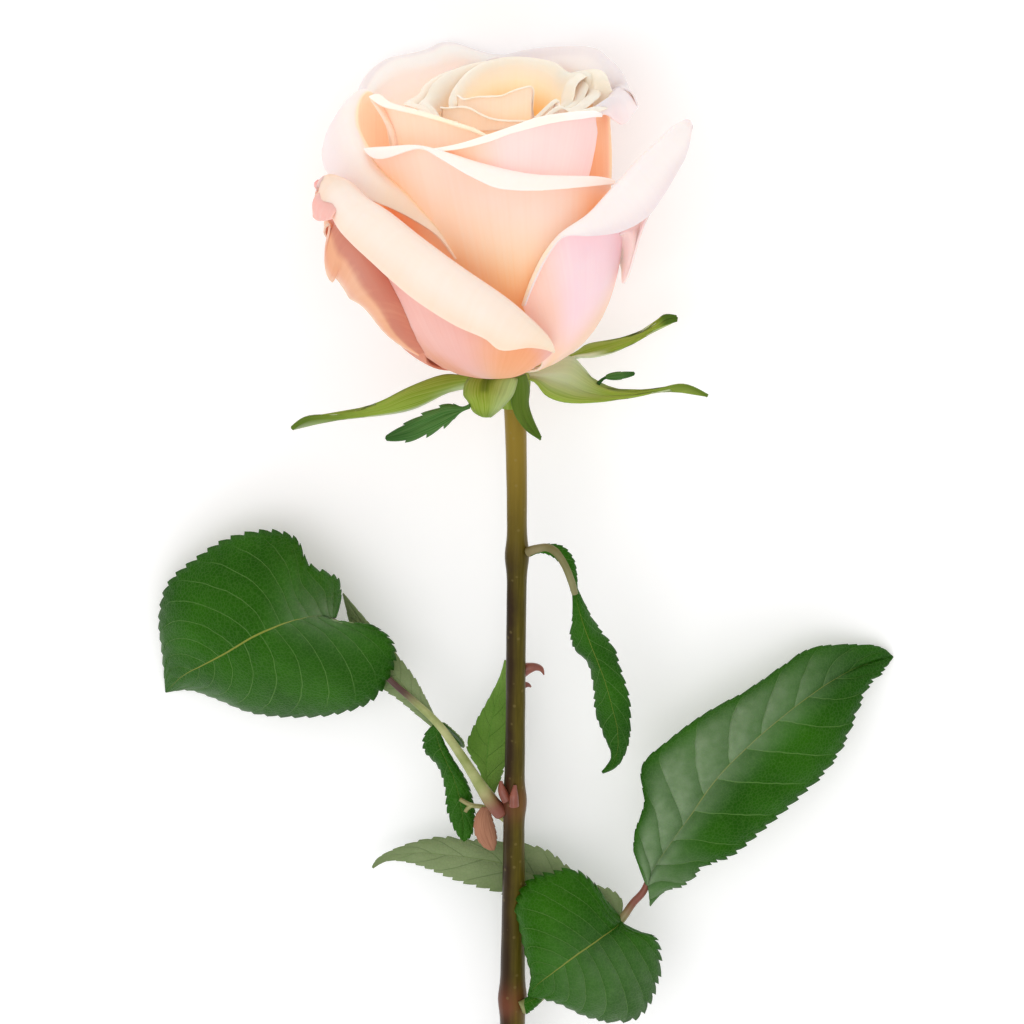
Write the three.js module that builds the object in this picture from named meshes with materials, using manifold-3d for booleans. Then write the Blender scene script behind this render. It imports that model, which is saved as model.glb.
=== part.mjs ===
import * as THREE from 'three';
import { mergeVertices } from 'three/addons/utils/BufferGeometryUtils.js';
import Module from 'manifold-3d';

// Driving dimensions in mm and degrees
const STEP = 0.21; // side of one plan square
const FAR = 1200; // height of the plan's viewing point over the bloom base
const TIP = 20; // flower axis out of the plan
const LEAN = -7; // bloom leans to the left of the stem
const SLOPE = 6; // the stem runs down to its cut end when the rose lies
const REST = 29.2; // bloom base over the surface
const MIDDLE_X = 3.62; // middle of the whole rose from the bloom base
const MIDDLE_Y = -92.84;
const BASE_X = 510; // bloom base on the plan
const BASE_Y = 370;
const PETAL = 0.7; // blade thicknesses
const LEAF = 0.7;
const SEPAL = 0.8;
const FLAT = 0.08; // ripples smaller than this are smoothed away
const GAP = 0.3; // between neighbouring parts
const STEM_RUN = [0, 35, 80, 100, 140, 254]; // stem radii down from the bloom
const STEM_RADIUS = [2.35, 2.12, 2.1, 2.25, 2.7, 2.9];
const NODES = [41.5, 98, 145, 185, 222]; // where leaves grow or grew
const NODE_SWELL = 0.5;
const HIP = 4.3; // radius of the swelling under the bloom

const wasm = await Module();
wasm.setup();
const rad = (d) => (d * Math.PI) / 180;
const cT = Math.cos(rad(TIP));
const sT = Math.sin(rad(TIP));
const cL = Math.cos(rad(LEAN));
const sL = Math.sin(rad(LEAN));

const lean = ([x, y, z]) => [x * cL + z * sL, y, -x * sL + z * cL];
const unlean = ([x, y, z]) => [x * cL - z * sL, y, x * sL + z * cL];
const mix = (a, b, t) => a.map((v, i) => v * (1 - t) + b[i] * t);
const add = (a, b, k = 1) => a.map((v, i) => v + b[i] * k);
const sub = (a, b) => a.map((v, i) => v - b[i]);
const size = (a) => Math.hypot(...a);
const unit = (a) => { const l = size(a) || 1; return a.map((v) => v / l); };
const cross = (a, b) => [a[1] * b[2] - a[2] * b[1], a[2] * b[0] - a[0] * b[2], a[0] * b[1] - a[1] * b[0]];

// A plan square with a depth toward the viewer, as a point with the bloom base at the origin and the flower up Z
function at(px, py, d) {
  const k = (FAR - d) / FAR;
  const u = (px - 512) * STEP * k - (BASE_X - 512) * STEP;
  const v = (512 - py) * STEP * k - (512 - BASE_Y) * STEP;
  return [u, v * sT - d * cT, v * cT + d * sT];
}

// The same point with the rose laid down on the surface
function laid([x, y, z]) {
  const c = Math.cos(rad(SLOPE));
  const s = Math.sin(rad(SLOPE));
  return [x - MIDDLE_X, z * c + y * s - MIDDLE_Y, z * s - y * c + REST];
}

// Smooth line through points, t from 0 to 1
function line(pts, t) {
  const n = pts.length;
  if (n === 2) return mix(pts[0], pts[1], t);
  const k = [0];
  for (let i = 1; i < n; i += 1) k.push(k[i - 1] + Math.sqrt(size(sub(pts[i], pts[i - 1]))));
  const end = k[n - 1];
  const h = [];
  const slope = [];
  for (let i = 0; i < n - 1; i += 1) {
    h.push((k[i + 1] - k[i]) / end);
    slope.push(sub(pts[i + 1], pts[i]).map((v) => v / h[i]));
  }
  const m = pts.map((p, i) => {
    if (i === 0 || i === n - 1) return slope[Math.min(i, n - 2)];
    return add(slope[i - 1].map((v) => v * h[i]), slope[i], h[i - 1]).map((v) => v / (h[i - 1] + h[i]));
  });
  m[0] = add(slope[0].map((v) => v * 1.5), m[1], -0.5);
  m[n - 1] = add(slope[n - 2].map((v) => v * 1.5), m[n - 2], -0.5);
  let j = 0;
  while (j < n - 2 && t >= k[j + 1] / end) j += 1;
  const x = (t - k[j] / end) / h[j];
  const a = 2 * x ** 3 - 3 * x ** 2 + 1;
  const b = (x ** 3 - 2 * x ** 2 + x) * h[j];
  const c = -2 * x ** 3 + 3 * x ** 2;
  const d = (x ** 3 - x ** 2) * h[j];
  return pts[j].map((v, i) => a * v + b * m[j][i] + c * pts[j + 1][i] + d * m[j + 1][i]);
}

function between(xs, ys, x) {
  if (x <= xs[0]) return ys[0];
  const n = xs.length;
  if (x >= xs[n - 1]) return ys[n - 1];
  let i = 0;
  while (xs[i + 1] < x) i += 1;
  return ys[i] + ((ys[i + 1] - ys[i]) * (x - xs[i])) / (xs[i + 1] - xs[i]);
}

// Closed body from a sheet of points [row][column], one thickness, both faces split alike
function thick(grid, t, low = 0.5) {
  const na = grid.length;
  const nb = grid[0].length;
  const up = [];
  const down = [];
  for (let i = 0; i < na; i += 1) {
    for (let j = 0; j < nb; j += 1) {
      const a = sub(grid[Math.min(i + 1, na - 1)][j], grid[Math.max(i - 1, 0)][j]);
      const b = sub(grid[i][Math.min(j + 1, nb - 1)], grid[i][Math.max(j - 1, 0)]);
      const n = unit(cross(a, b));
      up.push(add(grid[i][j], n, t * (1 - low)));
      down.push(add(grid[i][j], n, -t * low));
    }
  }
  const id = (i, j) => i * nb + j;
  const off = na * nb;
  const tris = [];
  for (let i = 0; i < na - 1; i += 1) {
    for (let j = 0; j < nb - 1; j += 1) {
      const [a, b, c, d] = [id(i, j), id(i + 1, j), id(i + 1, j + 1), id(i, j + 1)];
      tris.push([a, b, c], [a, c, d]);
      tris.push([off + a, off + c, off + b], [off + a, off + d, off + c]);
    }
  }
  const wall = (a, b) => tris.push([a, off + b, b], [a, off + a, off + b]);
  for (let i = 0; i < na - 1; i += 1) {
    wall(id(i, 0), id(i + 1, 0));
    wall(id(i + 1, nb - 1), id(i, nb - 1));
  }
  for (let j = 0; j < nb - 1; j += 1) {
    wall(id(na - 1, j), id(na - 1, j + 1));
    wall(id(0, j + 1), id(0, j));
  }
  return solid(up.concat(down), tris);
}

// Round stalk along points with a radius for each
function stalk(pts, radii, sides = 8, flat = 1) {
  const n = pts.length;
  const out = [];
  const view = [0, -cT, sT];
  pts.forEach((p, i) => {
    const dir = unit(sub(pts[Math.min(i + 1, n - 1)], pts[Math.max(i - 1, 0)]));
    const side = unit(cross(dir, view));
    const front = cross(side, dir);
    for (let k = 0; k < sides; k += 1) {
      const w = (2 * Math.PI * k) / sides;
      out.push(add(add(p, side, radii[i] * Math.cos(w)), front, radii[i] * flat * Math.sin(w)));
    }
  });
  const tris = [];
  for (let i = 0; i < n - 1; i += 1) {
    for (let k = 0; k < sides; k += 1) {
      const a = i * sides + k;
      const b = i * sides + ((k + 1) % sides);
      tris.push([a, b, b + sides], [a, b + sides, a + sides]);
    }
  }
  for (let k = 1; k < sides - 1; k += 1) {
    tris.push([0, k + 1, k]);
    tris.push([(n - 1) * sides, (n - 1) * sides + k, (n - 1) * sides + k + 1]);
  }
  return solid(out, tris);
}

// Points and triangles as a geometry, laid down, then as a solid facing out
function solid(points, tris) {
  const shape = new THREE.BufferGeometry();
  shape.setAttribute('position', new THREE.Float32BufferAttribute(points.flatMap(laid), 3));
  shape.setIndex(tris.flat());
  const body = joinable(shape);
  if (body.volume() > 0) return body;
  shape.setIndex(tris.flatMap(([a, b, c]) => [a, c, b]));
  return joinable(shape);
}

function joinable(geometry) {
  const g = geometry.clone();
  g.deleteAttribute('normal');
  g.deleteAttribute('uv');
  const merged = mergeVertices(g, 1e-5);
  return new wasm.Manifold(new wasm.Mesh({
    numProp: 3,
    vertProperties: new Float32Array(merged.getAttribute('position').array),
    triVerts: new Uint32Array(merged.index.array),
  }));
}

const fuse = (list) => list.reduce((a, b) => a.add(b));

// One petal layer: radius against height, its middle drifting sideways by the rim
function cup(belly, top, height, driftX = 0, driftY = 0) {
  const r = [];
  const z = [];
  const b = [0];
  for (let i = 0; i < 60; i += 1) {
    const t = i / 59;
    const w = [(1 - t) ** 3, 3 * t * (1 - t) ** 2, 3 * t * t * (1 - t), t ** 3];
    r.push(w[0] * 2.5 + w[1] * belly * 0.82 + w[2] * belly * 1.04 + w[3] * top);
    z.push(w[1] * 0.065 * height + w[2] * 0.33 * height + w[3] * height);
    if (i) b.push(b[i - 1] + Math.hypot(r[i] - r[i - 1], z[i] - z[i - 1]));
  }
  const lip = (r[59] - r[56]) / (z[59] - z[56]);
  const radius = (h) => (h > height ? r[59] + (h - height) * lip : between(z, r, h));
  const along = (h) => between(z, b, h) + Math.max(h - height, 0) * Math.hypot(1, lip);
  const rise = (s) => between(b, z, s) + Math.max(s - b[59], 0) / Math.hypot(1, lip);
  const place = (az, h, out = 0) => {
    const q = radius(h) + out;
    return [q * Math.sin(az) + (driftX * h) / height, -q * Math.cos(az) + (driftY * h) / height, h];
  };
  return { radius, along, rise, place, driftX, driftY, height };
}

// Azimuth and height of the spot of a layer that lies under a plan square
function spot(layer, px, py, out, far) {
  let az = far ? Math.PI : 0;
  let h = 30;
  const ray = unlean([0, -cT, sT]);
  for (let i = 0; i < 80; i += 1) {
    const r = layer.radius(h) + out;
    const p = lean(layer.place(az, h, out));
    const q = unlean(at(px, py, -p[1] * cT + p[2] * sT));
    const k = h / layer.height;
    const a = Math.asin(Math.max(-1, Math.min(1, (q[0] - layer.driftX * k) / r)));
    az = far ? Math.PI - a : a;
    const m = (-r * Math.cos(az) + layer.driftY * k - q[1]) / ray[1];
    h = Math.max(0.5 * h + 0.5 * (q[2] + m * ray[2]), 0.05);
  }
  return [az, h, out];
}

// Rim line: [x, y, out] near side, ['far', x, y, out] far side, ['az', degrees, height, out] by azimuth
function rim(layer, pts) {
  const res = [];
  pts.forEach((p) => {
    let q;
    if (p[0] === 'az') q = [rad(p[1]), p[2], p[3]];
    else if (p[0] === 'far') q = spot(layer, p[1], p[2], p[3], true);
    else q = spot(layer, p[0], p[1], p[2], false);
    if (res.length) {
      while (q[0] - res[res.length - 1][0] > Math.PI) q[0] -= 2 * Math.PI;
      while (q[0] - res[res.length - 1][0] < -Math.PI) q[0] += 2 * Math.PI;
    }
    res.push(q);
  });
  return res;
}

// A petal: rises on its layer from the base to the crest line, then rolls over out to the margin line
function petal(o) {
  const layer = cup(...o.layer);
  let crest = rim(layer, o.crest);
  let margin = rim(layer, o.margin);
  const turn = 2 * Math.PI * Math.round((crest[0][0] - margin[0][0]) / (2 * Math.PI));
  margin = margin.map(([a, h, d]) => [a + turn, h, d]);
  if (crest[0][0] > crest[crest.length - 1][0]) {
    crest = crest.reverse();
    margin = margin.reverse();
  }
  let mid = rad(o.azimuth);
  const centre = 0.5 * (crest[0][0] + crest[crest.length - 1][0]);
  mid += 2 * Math.PI * Math.round((centre - mid) / (2 * Math.PI));
  const wide = o.wide ?? 9;
  const tall = o.tall ?? 4;
  const roll = o.roll ?? 3;
  const from = o.from ?? 0.12;
  const stretch = (p) => [p[0] * 30, p[1], p[2]];
  const grid = [];
  for (let i = 0; i < wide; i += 1) {
    const s = i / (wide - 1);
    const c = line(crest.map(stretch), s);
    const m = line(margin.map(stretch), s);
    const low = Math.max(c[1] - 1.25 * c[2], 0.3);
    const reach = layer.along(low);
    const row = [];
    const body = (t) => layer.place(mid + (c[0] / 30 - mid) * t ** o.spread, layer.rise(reach * t));
    for (let j = 0; j < tall; j += 1) row.push(body(from + ((1 - from) * j) / (tall - 1)));
    const foot = row[tall - 1];
    const top = layer.place(c[0] / 30, c[1], c[2]);
    const edge = layer.place(m[0] / 30, m[1], m[2]);
    const d0 = unit(sub(foot, body(0.985)));
    const l1 = size(sub(top, foot));
    const l2 = size(sub(edge, top));
    const d1 = unit(add(sub(top, foot).map((v) => (v * l2) / (l1 + 1e-9)), sub(edge, top), l1 / (l2 + 1e-9)));
    const d2 = unit(add(unit(sub(edge, top)), d1, -0.25));
    const turnOver = (a, b, ta, tb, len, x) => a.map((v, k) => (2 * x ** 3 - 3 * x ** 2 + 1) * v
      + (x ** 3 - 2 * x ** 2 + x) * ta[k] * len + (-2 * x ** 3 + 3 * x ** 2) * b[k] + (x ** 3 - x ** 2) * tb[k] * len);
    if (l1 > 1.5) row.push(turnOver(foot, top, d0, d1, l1 * 1.15, 0.5));
    else row.push(mix(foot, top, 0.5));
    row.push(top);
    for (let j = 1; j <= roll; j += 1) row.push(turnOver(top, edge, d1, d2, l2 * 1.15, j / roll));
    grid.push(row.map(lean));
  }
  return thick(grid, o.thick ?? PETAL);
}

// Petals from the outside in
const petals = [
  { // front left, its wide margin rolled right over
    layer: [29, 31, 54], azimuth: -25, spread: 0.9, wide: 11, tall: 5, roll: 4,
    crest: [[326, 178, 2], [346, 183, 4], [378, 208, 4.5], [411, 233, 4.5], [451, 259, 4.5], [483, 279, 4.5],
      [518, 301, 4], [541, 320, 3], [554, 350, 1.5]],
    margin: [[314, 217, 3.5], [330, 219, 6], [352, 245, 8], [389, 274, 8.5], [430, 306, 8.5], [460, 323, 8],
      [490, 343, 7], [520, 350, 5], [554, 352, 2.5]],
  },
  { // right, leaning out to a long tip
    layer: [27, 42, 52], azimuth: 50, spread: 0.6, wide: 10, tall: 5, roll: 4,
    crest: [[524, 304, 0.5], [533, 276, 1], [545, 252, 1.5], [561, 234, 2.2], [585, 213, 3], [611, 189, 3.5],
      [638, 162, 3.5], [665, 138, 3], [688, 121, 1.5]],
    margin: [[523, 305, 1], [532, 277, 1.5], [544, 253, 2], [562, 236, 3.5], [582, 234, 6], [606, 231, 7],
      [628, 225, 8], [657, 205, 7], [680, 168, 5], [692, 126, 2]],
  },
  { // front middle
    layer: [26, 26, 50], azimuth: 5, spread: 0.6, wide: 9, from: 0.66,
    crest: [[366, 149, 1], [386, 149, 1.5], [424, 146, 1.5], [451, 154, 2], [477, 162, 2.5], [504, 170, 2.5],
      [531, 174, 2.5], [558, 175, 2], [598, 179, 1.5], [614, 183, 1]],
    margin: [[366, 150, 2], [384, 158, 3], [424, 150, 2.5], [449, 164, 4], [472, 178, 5], [497, 186, 5],
      [523, 190, 5], [549, 189, 4.5], [590, 186, 3], [615, 184, 2]],
  },
  { // left, a broad band turned out
    layer: [27.5, 24.5, 60], azimuth: -75, spread: 0.6, wide: 10, from: 0.6, roll: 4,
    crest: [['az', -128, 60, 0.5], ['az', -115, 62, 0.5], ['az', -100, 60.5, 1], ['az', -85, 58, 1.5],
      ['az', -68, 56, 1.5], [381, 173, 2.5], [397, 191, 2.5], [418, 215, 2], [440, 240, 1.5], [455, 258, 1]],
    margin: [['az', -126, 58, 2], ['az', -115, 57, 6.5], ['az', -100, 55, 8.5], ['az', -85, 52, 9],
      ['az', -68, 50, 9], [372, 204, 7], [388, 208, 6], [412, 219, 4.5], [438, 238, 2.5], [455, 259, 1.5]],
  },
  { // low left
    layer: [29.8, 31, 50], azimuth: -105, spread: 0.8, wide: 10, roll: 3,
    crest: [['az', -168, 34, 2], ['az', -140, 35, 2], ['az', -104, 34, 2], [350, 228, 2], [362, 255, 2],
      [374, 280, 2], [386, 305, 2], [400, 334, 1.5], [420, 354, 0.7]],
    margin: [['az', -168, 30, 3], ['az', -140, 28, 4], ['az', -112, 28, 4.5], [332, 226, 4], [328, 270, 4],
      [345, 286, 4], [363, 306, 3.5], [388, 338, 2.4], [419, 355, 1.2]],
  },
  { // low right, its tip hanging
    layer: [28, 29.5, 52], azimuth: 110, spread: 0.6, wide: 9,
    crest: [['az', 64, 22, 0.6], ['az', 78, 28, 1], [626, 232, 1.4], ['az', 108, 36, 2.5], ['az', 135, 42, 3],
      ['az', 168, 40, 3]],
    margin: [['az', 66, 20, 1], [618, 272, 1.4], [623, 281, 2], [641, 236, 4.5], ['az', 130, 34, 5],
      ['az', 168, 34, 5]],
  },
  { // under the bloom
    layer: [30.6, 30, 52], azimuth: 180, spread: 0.75, wide: 8, from: 0.2,
    crest: [['az', 140, 34, 1.5], ['az', 155, 44, 2.5], ['az', 180, 48, 2.5], ['az', 205, 46, 2.5],
      ['az', 226, 34, 1.5]],
    margin: [['az', 140, 32, 3], ['az', 155, 38, 4.5], ['az', 180, 40, 4.5], ['az', 205, 39, 4.5],
      ['az', 226, 31, 3]],
  },
  { // far left
    layer: [26, 27, 60], azimuth: -150, spread: 0.6, wide: 11, from: 0.66,
    crest: [['az', -112, 56, 0], ['far', 367, 86, 1], ['far', 384, 67, 2.5], ['far', 402, 57.5, 3],
      ['far', 424, 51, 3], ['far', 440, 43, 3], ['far', 456, 43.6, 3], ['far', 472, 48, 3], ['far', 491, 53.5, 3],
      ['far', 512, 56, 2], ['far', 530, 62, 1]],
    margin: [['az', -112, 55, 0.5], ['az', -122, 55, 3], ['az', -130, 55, 6], ['az', -138, 56, 7],
      ['az', -147, 56, 7], ['az', -156, 56, 7], ['az', -165, 56, 7], ['az', -173, 55, 7], ['az', -182, 54, 6],
      ['az', -192, 53, 4], ['az', -200, 54, 2]],
  },
  { // far right
    layer: [25, 27, 60], azimuth: 145, spread: 0.6, wide: 9, from: 0.66,
    crest: [['far', 505, 66, 0.5], ['far', 531, 55, 2], ['far', 552, 51, 3], ['far', 574, 49.5, 3],
      ['far', 594, 51, 3], ['far', 607, 60, 3], ['far', 616.5, 70.5, 3], ['az', 98, 58.6, 3]],
    margin: [['az', 192, 56, 2], ['az', 177, 55, 6], ['az', 160, 55, 7], ['az', 145, 55, 7], ['az', 132, 55, 7],
      ['az', 120, 54, 7], ['az', 110, 53, 5], ['az', 98, 52, 4]],
  },
  { // right, a small flap turned out
    layer: [27.3, 28, 58], azimuth: 92, spread: 0.6, wide: 8, from: 0.66,
    crest: [['az', 60, 51, 0], ['az', 70, 57, 0.4], ['az', 84, 58.6, 1], ['az', 98, 58.4, 1.6],
      ['az', 112, 57, 1.8], ['az', 126, 52, 1]],
    margin: [['az', 60, 50, 0.5], [603, 117, 1.6], [621, 126, 3.6], [636, 118, 5.4], ['az', 110, 53, 5.5],
      ['az', 126, 50, 2]],
  },
  { // second front petal
    layer: [25.2, 26.2, 60], azimuth: 25, spread: 0.6, wide: 8, from: 0.66, roll: 2,
    crest: [[425, 149, 0.5], [456, 144.6, 1], [477, 138, 1], [499, 130, 1], [523, 123, 1], [547, 118, 1],
      [571, 114, 1], [596, 111, 1], [604, 114, 0.5]],
    margin: [[425, 151, 1], [456, 151, 2], [477, 146, 2.2], [499, 138, 2.2], [523, 131, 2.2], [547, 125, 2.2],
      [571, 119, 2], [595, 114, 1.5], [604, 115, 1]],
  },
  { // inner left
    layer: [21, 22, 60, -1.5, 3.5], azimuth: -45, spread: 0.6, wide: 8, tall: 2, roll: 1, from: 0.8,
    crest: [['az', -115, 56, 0.5], ['az', -95, 61, 0.5], ['az', -78, 63, 0.5], [394, 108, 0.7], [418, 112, 0.8],
      [440, 118, 0.8], [461, 124.5, 0.8], [478, 129.5, 0.6], [492, 136, 0.3]],
    margin: [['az', -115, 55.5, 1], ['az', -95, 60, 1.5], ['az', -78, 62, 1.5], [394, 110, 1.5],
      [418, 114.5, 1.6], [440, 120.5, 1.6], [461, 127, 1.6], [478, 131, 1.2], [492, 137, 0.6]],
  },
  { // three nested lips on the right
    layer: [23.5, 24, 60, 4.5, 2], azimuth: 75, spread: 0.5, wide: 6, tall: 2, roll: 1, from: 0.8,
    crest: [['az', 28, 56, 0.3], ['az', 50, 59, 0.8], ['az', 70, 60.5, 1], ['az', 90, 60.5, 1],
      ['az', 108, 58, 0.8], ['az', 125, 52, 0.3]],
    margin: [['az', 28, 55.6, 0.6], ['az', 50, 58, 1.8], ['az', 70, 59, 2.8], ['az', 90, 59, 3],
      ['az', 108, 56.6, 2], ['az', 125, 51, 0.8]],
  },
  {
    layer: [21.5, 22, 60, 5, 3], azimuth: 70, spread: 0.5, wide: 6, tall: 2, roll: 1, from: 0.8,
    crest: [['az', 20, 57, 0.3], ['az', 45, 60.5, 0.8], ['az', 66, 61.5, 1], ['az', 85, 61.5, 1],
      ['az', 104, 59, 0.8], ['az', 122, 53, 0.3]],
    margin: [['az', 20, 56.6, 0.6], ['az', 45, 59.5, 1.6], ['az', 66, 60, 2.2], ['az', 85, 60, 2.4],
      ['az', 104, 57.8, 1.8], ['az', 122, 52, 0.8]],
  },
  {
    layer: [19, 19.5, 60, 5.5, 3], azimuth: 65, spread: 0.5, wide: 6, tall: 2, roll: 1, from: 0.8,
    crest: [['az', 15, 57, 0.3], ['az', 38, 60.5, 0.8], ['az', 60, 61.8, 1], ['az', 82, 62, 1],
      ['az', 102, 59.5, 0.8], ['az', 120, 54, 0.3]],
    margin: [['az', 15, 56.6, 0.6], ['az', 38, 59.6, 1.5], ['az', 60, 60.6, 2], ['az', 82, 60.8, 2.2],
      ['az', 102, 58.4, 1.6], ['az', 120, 53, 0.8]],
  },
  { // crescent left of the heart
    layer: [16, 16.7, 60, 6, 4], azimuth: -110, spread: 0.5, wide: 7, tall: 2, roll: 1, from: 0.8,
    crest: [['az', -52, 57, 0.3], ['az', -65, 59.8, 0.6], ['az', -90, 60.4, 0.8], ['az', -110, 60.7, 0.8],
      ['az', -130, 61.3, 0.8], ['az', -150, 61.8, 0.8], ['az', -166, 62.2, 0.6], ['az', -188, 59, 0.3]],
    margin: [['az', -52, 56.6, 0.6], ['az', -65, 59.2, 1.2], ['az', -90, 59.7, 1.8], ['az', -110, 60, 1.8],
      ['az', -130, 60.6, 1.8], ['az', -150, 61.2, 1.6], ['az', -166, 61.8, 1.2], ['az', -188, 58.5, 0.6]],
  },
  { // ring round the heart
    layer: [12.6, 13, 62, 8.5, 5], azimuth: 180, spread: 0.5, wide: 11, tall: 2, roll: 1, from: 0.8,
    crest: [['az', -70, 56, 0.2], ['az', -90, 58.6, 0.3], ['az', -105, 59.6, 0.4], ['az', -130, 62, 0.5],
      ['az', -150, 63.4, 0.5], ['az', -180, 63.2, 0.5], ['az', -210, 62.1, 0.6], ['az', -240, 60.5, 0.8],
      ['az', -270, 58.8, 0.9], ['az', -295, 57.8, 0.7], ['az', -318, 56, 0.3]],
    margin: [['az', -70, 55.7, 0.4], ['az', -90, 58.2, 0.8], ['az', -105, 59.2, 0.9], ['az', -130, 61.6, 1],
      ['az', -150, 63.1, 1], ['az', -180, 62.9, 1], ['az', -210, 61.7, 1.3], ['az', -240, 59.8, 2],
      ['az', -270, 58, 2.2], ['az', -295, 57.2, 1.6], ['az', -318, 55.7, 0.6]],
  },
  { // three short petals closing the heart in front
    layer: [14, 14.6, 60, 6.5, 4], azimuth: -40, spread: 0.5, wide: 6, tall: 2, roll: 1, from: 0.8,
    crest: [['az', -95, 54, 0.2], ['az', -70, 58, 0.4], [447, 111, 0.5], [456, 113, 0.5], [470, 120, 0.5],
      [490, 127, 0.5], [515, 130, 0.3]],
    margin: [['az', -95, 53.6, 0.4], ['az', -70, 57.6, 0.8], [447, 112.3, 0.9], [456, 114.5, 0.9],
      [470, 121.5, 0.9], [490, 128, 0.8], [515, 131, 0.6]],
  },
  {
    layer: [12.3, 12.8, 61, 7.5, 4.5], azimuth: -25, spread: 0.5, wide: 6, tall: 2, roll: 1, from: 0.8,
    crest: [['az', -100, 54, 0.2], ['az', -75, 58, 0.4], [466, 109, 0.5], [479, 116, 0.5], [496, 120, 0.5],
      [510, 122, 0.5], [530, 124, 0.3]],
    margin: [['az', -100, 53.6, 0.4], ['az', -75, 57.5, 0.8], [466, 110.5, 0.9], [479, 117.3, 0.9],
      [496, 121.2, 0.9], [510, 123, 0.8], [530, 125, 0.6]],
  },
  {
    layer: [10.6, 11, 62, 8, 6], azimuth: -10, spread: 0.5, wide: 8, tall: 2, roll: 1, from: 0.8,
    crest: [['az', -110, 55, 0.1], ['az', -88, 58.5, 0.2], [468, 98.5, 0.3], [486, 97, 0.4], [502, 96.6, 0.4],
      [512, 92.5, 0.4], [520, 88.5, 0.4], [532, 87.5, 0.2], [534, 100, 0], [536, 124, -0.3]],
    margin: [['az', -110, 54.7, 0.3], ['az', -88, 58.1, 0.5], [468, 99.7, 0.7], [486, 98.2, 0.7],
      [502, 97.8, 0.7], [512, 93.7, 0.7], [520, 89.6, 0.7], [532.5, 88.2, 0.5], [534.5, 100, 0.3],
      [536.5, 125, 0]],
  },
  { // innermost swirl
    layer: [5.5, 5.5, 62, 8, 6], azimuth: 20, spread: 0.5, wide: 7, tall: 2, roll: 1, from: 0.8,
    crest: [['az', -120, 55, 0.2], ['az', -80, 57, 0.3], ['az', -30, 57.5, 0.3], ['az', 20, 58, 0.3],
      ['az', 70, 57.5, 0.3], ['az', 120, 57, 0.3], ['az', 180, 57, 0.2]],
    margin: [['az', -120, 54.8, 0.3], ['az', -80, 56.7, 0.6], ['az', -30, 57.2, 0.6], ['az', 20, 57.7, 0.6],
      ['az', 70, 57.2, 0.6], ['az', 120, 56.7, 0.6], ['az', 180, 56.7, 0.4]],
  },
];

// A body turned round the flower axis from [radius, height, drift x, drift y] rows
function turned(rows, sides = 20, leaning = true) {
  const pts = [];
  rows.forEach(([r, h, dx = 0, dy = 0]) => {
    for (let k = 0; k < sides; k += 1) {
      const w = (2 * Math.PI * k) / sides;
      const p = [r * Math.cos(w) + dx, r * Math.sin(w) + dy, h];
      pts.push(leaning ? lean(p) : p);
    }
  });
  const tris = [];
  for (let i = 0; i < rows.length - 1; i += 1) {
    for (let k = 0; k < sides; k += 1) {
      const a = i * sides + k;
      const b = i * sides + ((k + 1) % sides);
      tris.push([a, b, b + sides], [a, b + sides, a + sides]);
    }
  }
  const last = (rows.length - 1) * sides;
  for (let k = 1; k < sides - 1; k += 1) {
    tris.push([0, k + 1, k], [last, last + k, last + k + 1]);
  }
  return solid(pts, tris);
}

// The packed bases of the petals inside the bloom
const heart = turned([[2.6, 0.45], [9, 2.2], [14, 4.4], [19, 9], [23, 16.5], [24, 25], [23.2, 35, 1, 0.5],
  [21, 44, 3, 2], [17, 50, 5, 3.5], [10.5, 54, 7.5, 5], [5, 55.4, 8, 6]], 22);
const bloom = fuse([heart, ...petals.map(petal)]);

// Blade from three long lines of [x, y, depth]: one edge, the midrib, the other edge, with saw teeth cut in the edges
function blade(o) {
  const teeth = o.teeth ?? 8;
  const n = 2 * teeth + 1;
  const t = o.thick ?? LEAF;
  const across = o.across ?? [-1, -0.5, 0, 0.5, 1];
  const [left, mid, right] = [o.left, o.mid, o.right].map((l) => l.map((p) => at(...p)));
  const grid = across.map((a) => {
    const row = [];
    for (let j = 0; j < n; j += 1) {
      const s = j / (n - 1);
      const m = line(mid, s);
      const e = line(a < 0 ? left : right, s);
      const k = Math.abs(a);
      const w = size(sub(e, m));
      let p = mix(m, e, k);
      p = add(p, [0, -cT, sT], (o.bulge ?? 0) * 4 * k * (1 - k) * w);
      const cut = j % 2 && k === 1 && w > 1 ? (o.cut ?? 0.8) : 0;
      if (cut && j > 0 && j < n - 1) p = add(p, unit(sub(e, m)), -cut);
      row.push(p);
    }
    return row;
  });
  return thick(grid, t);
}

const stem = (px, py) => {
  const v = (512 - py) * STEP;
  const d = ((sT / cT) * (v - (512 - BASE_Y) * STEP)) / (1 + ((sT / cT) * v) / FAR);
  return at(px, py, d);
};

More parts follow.
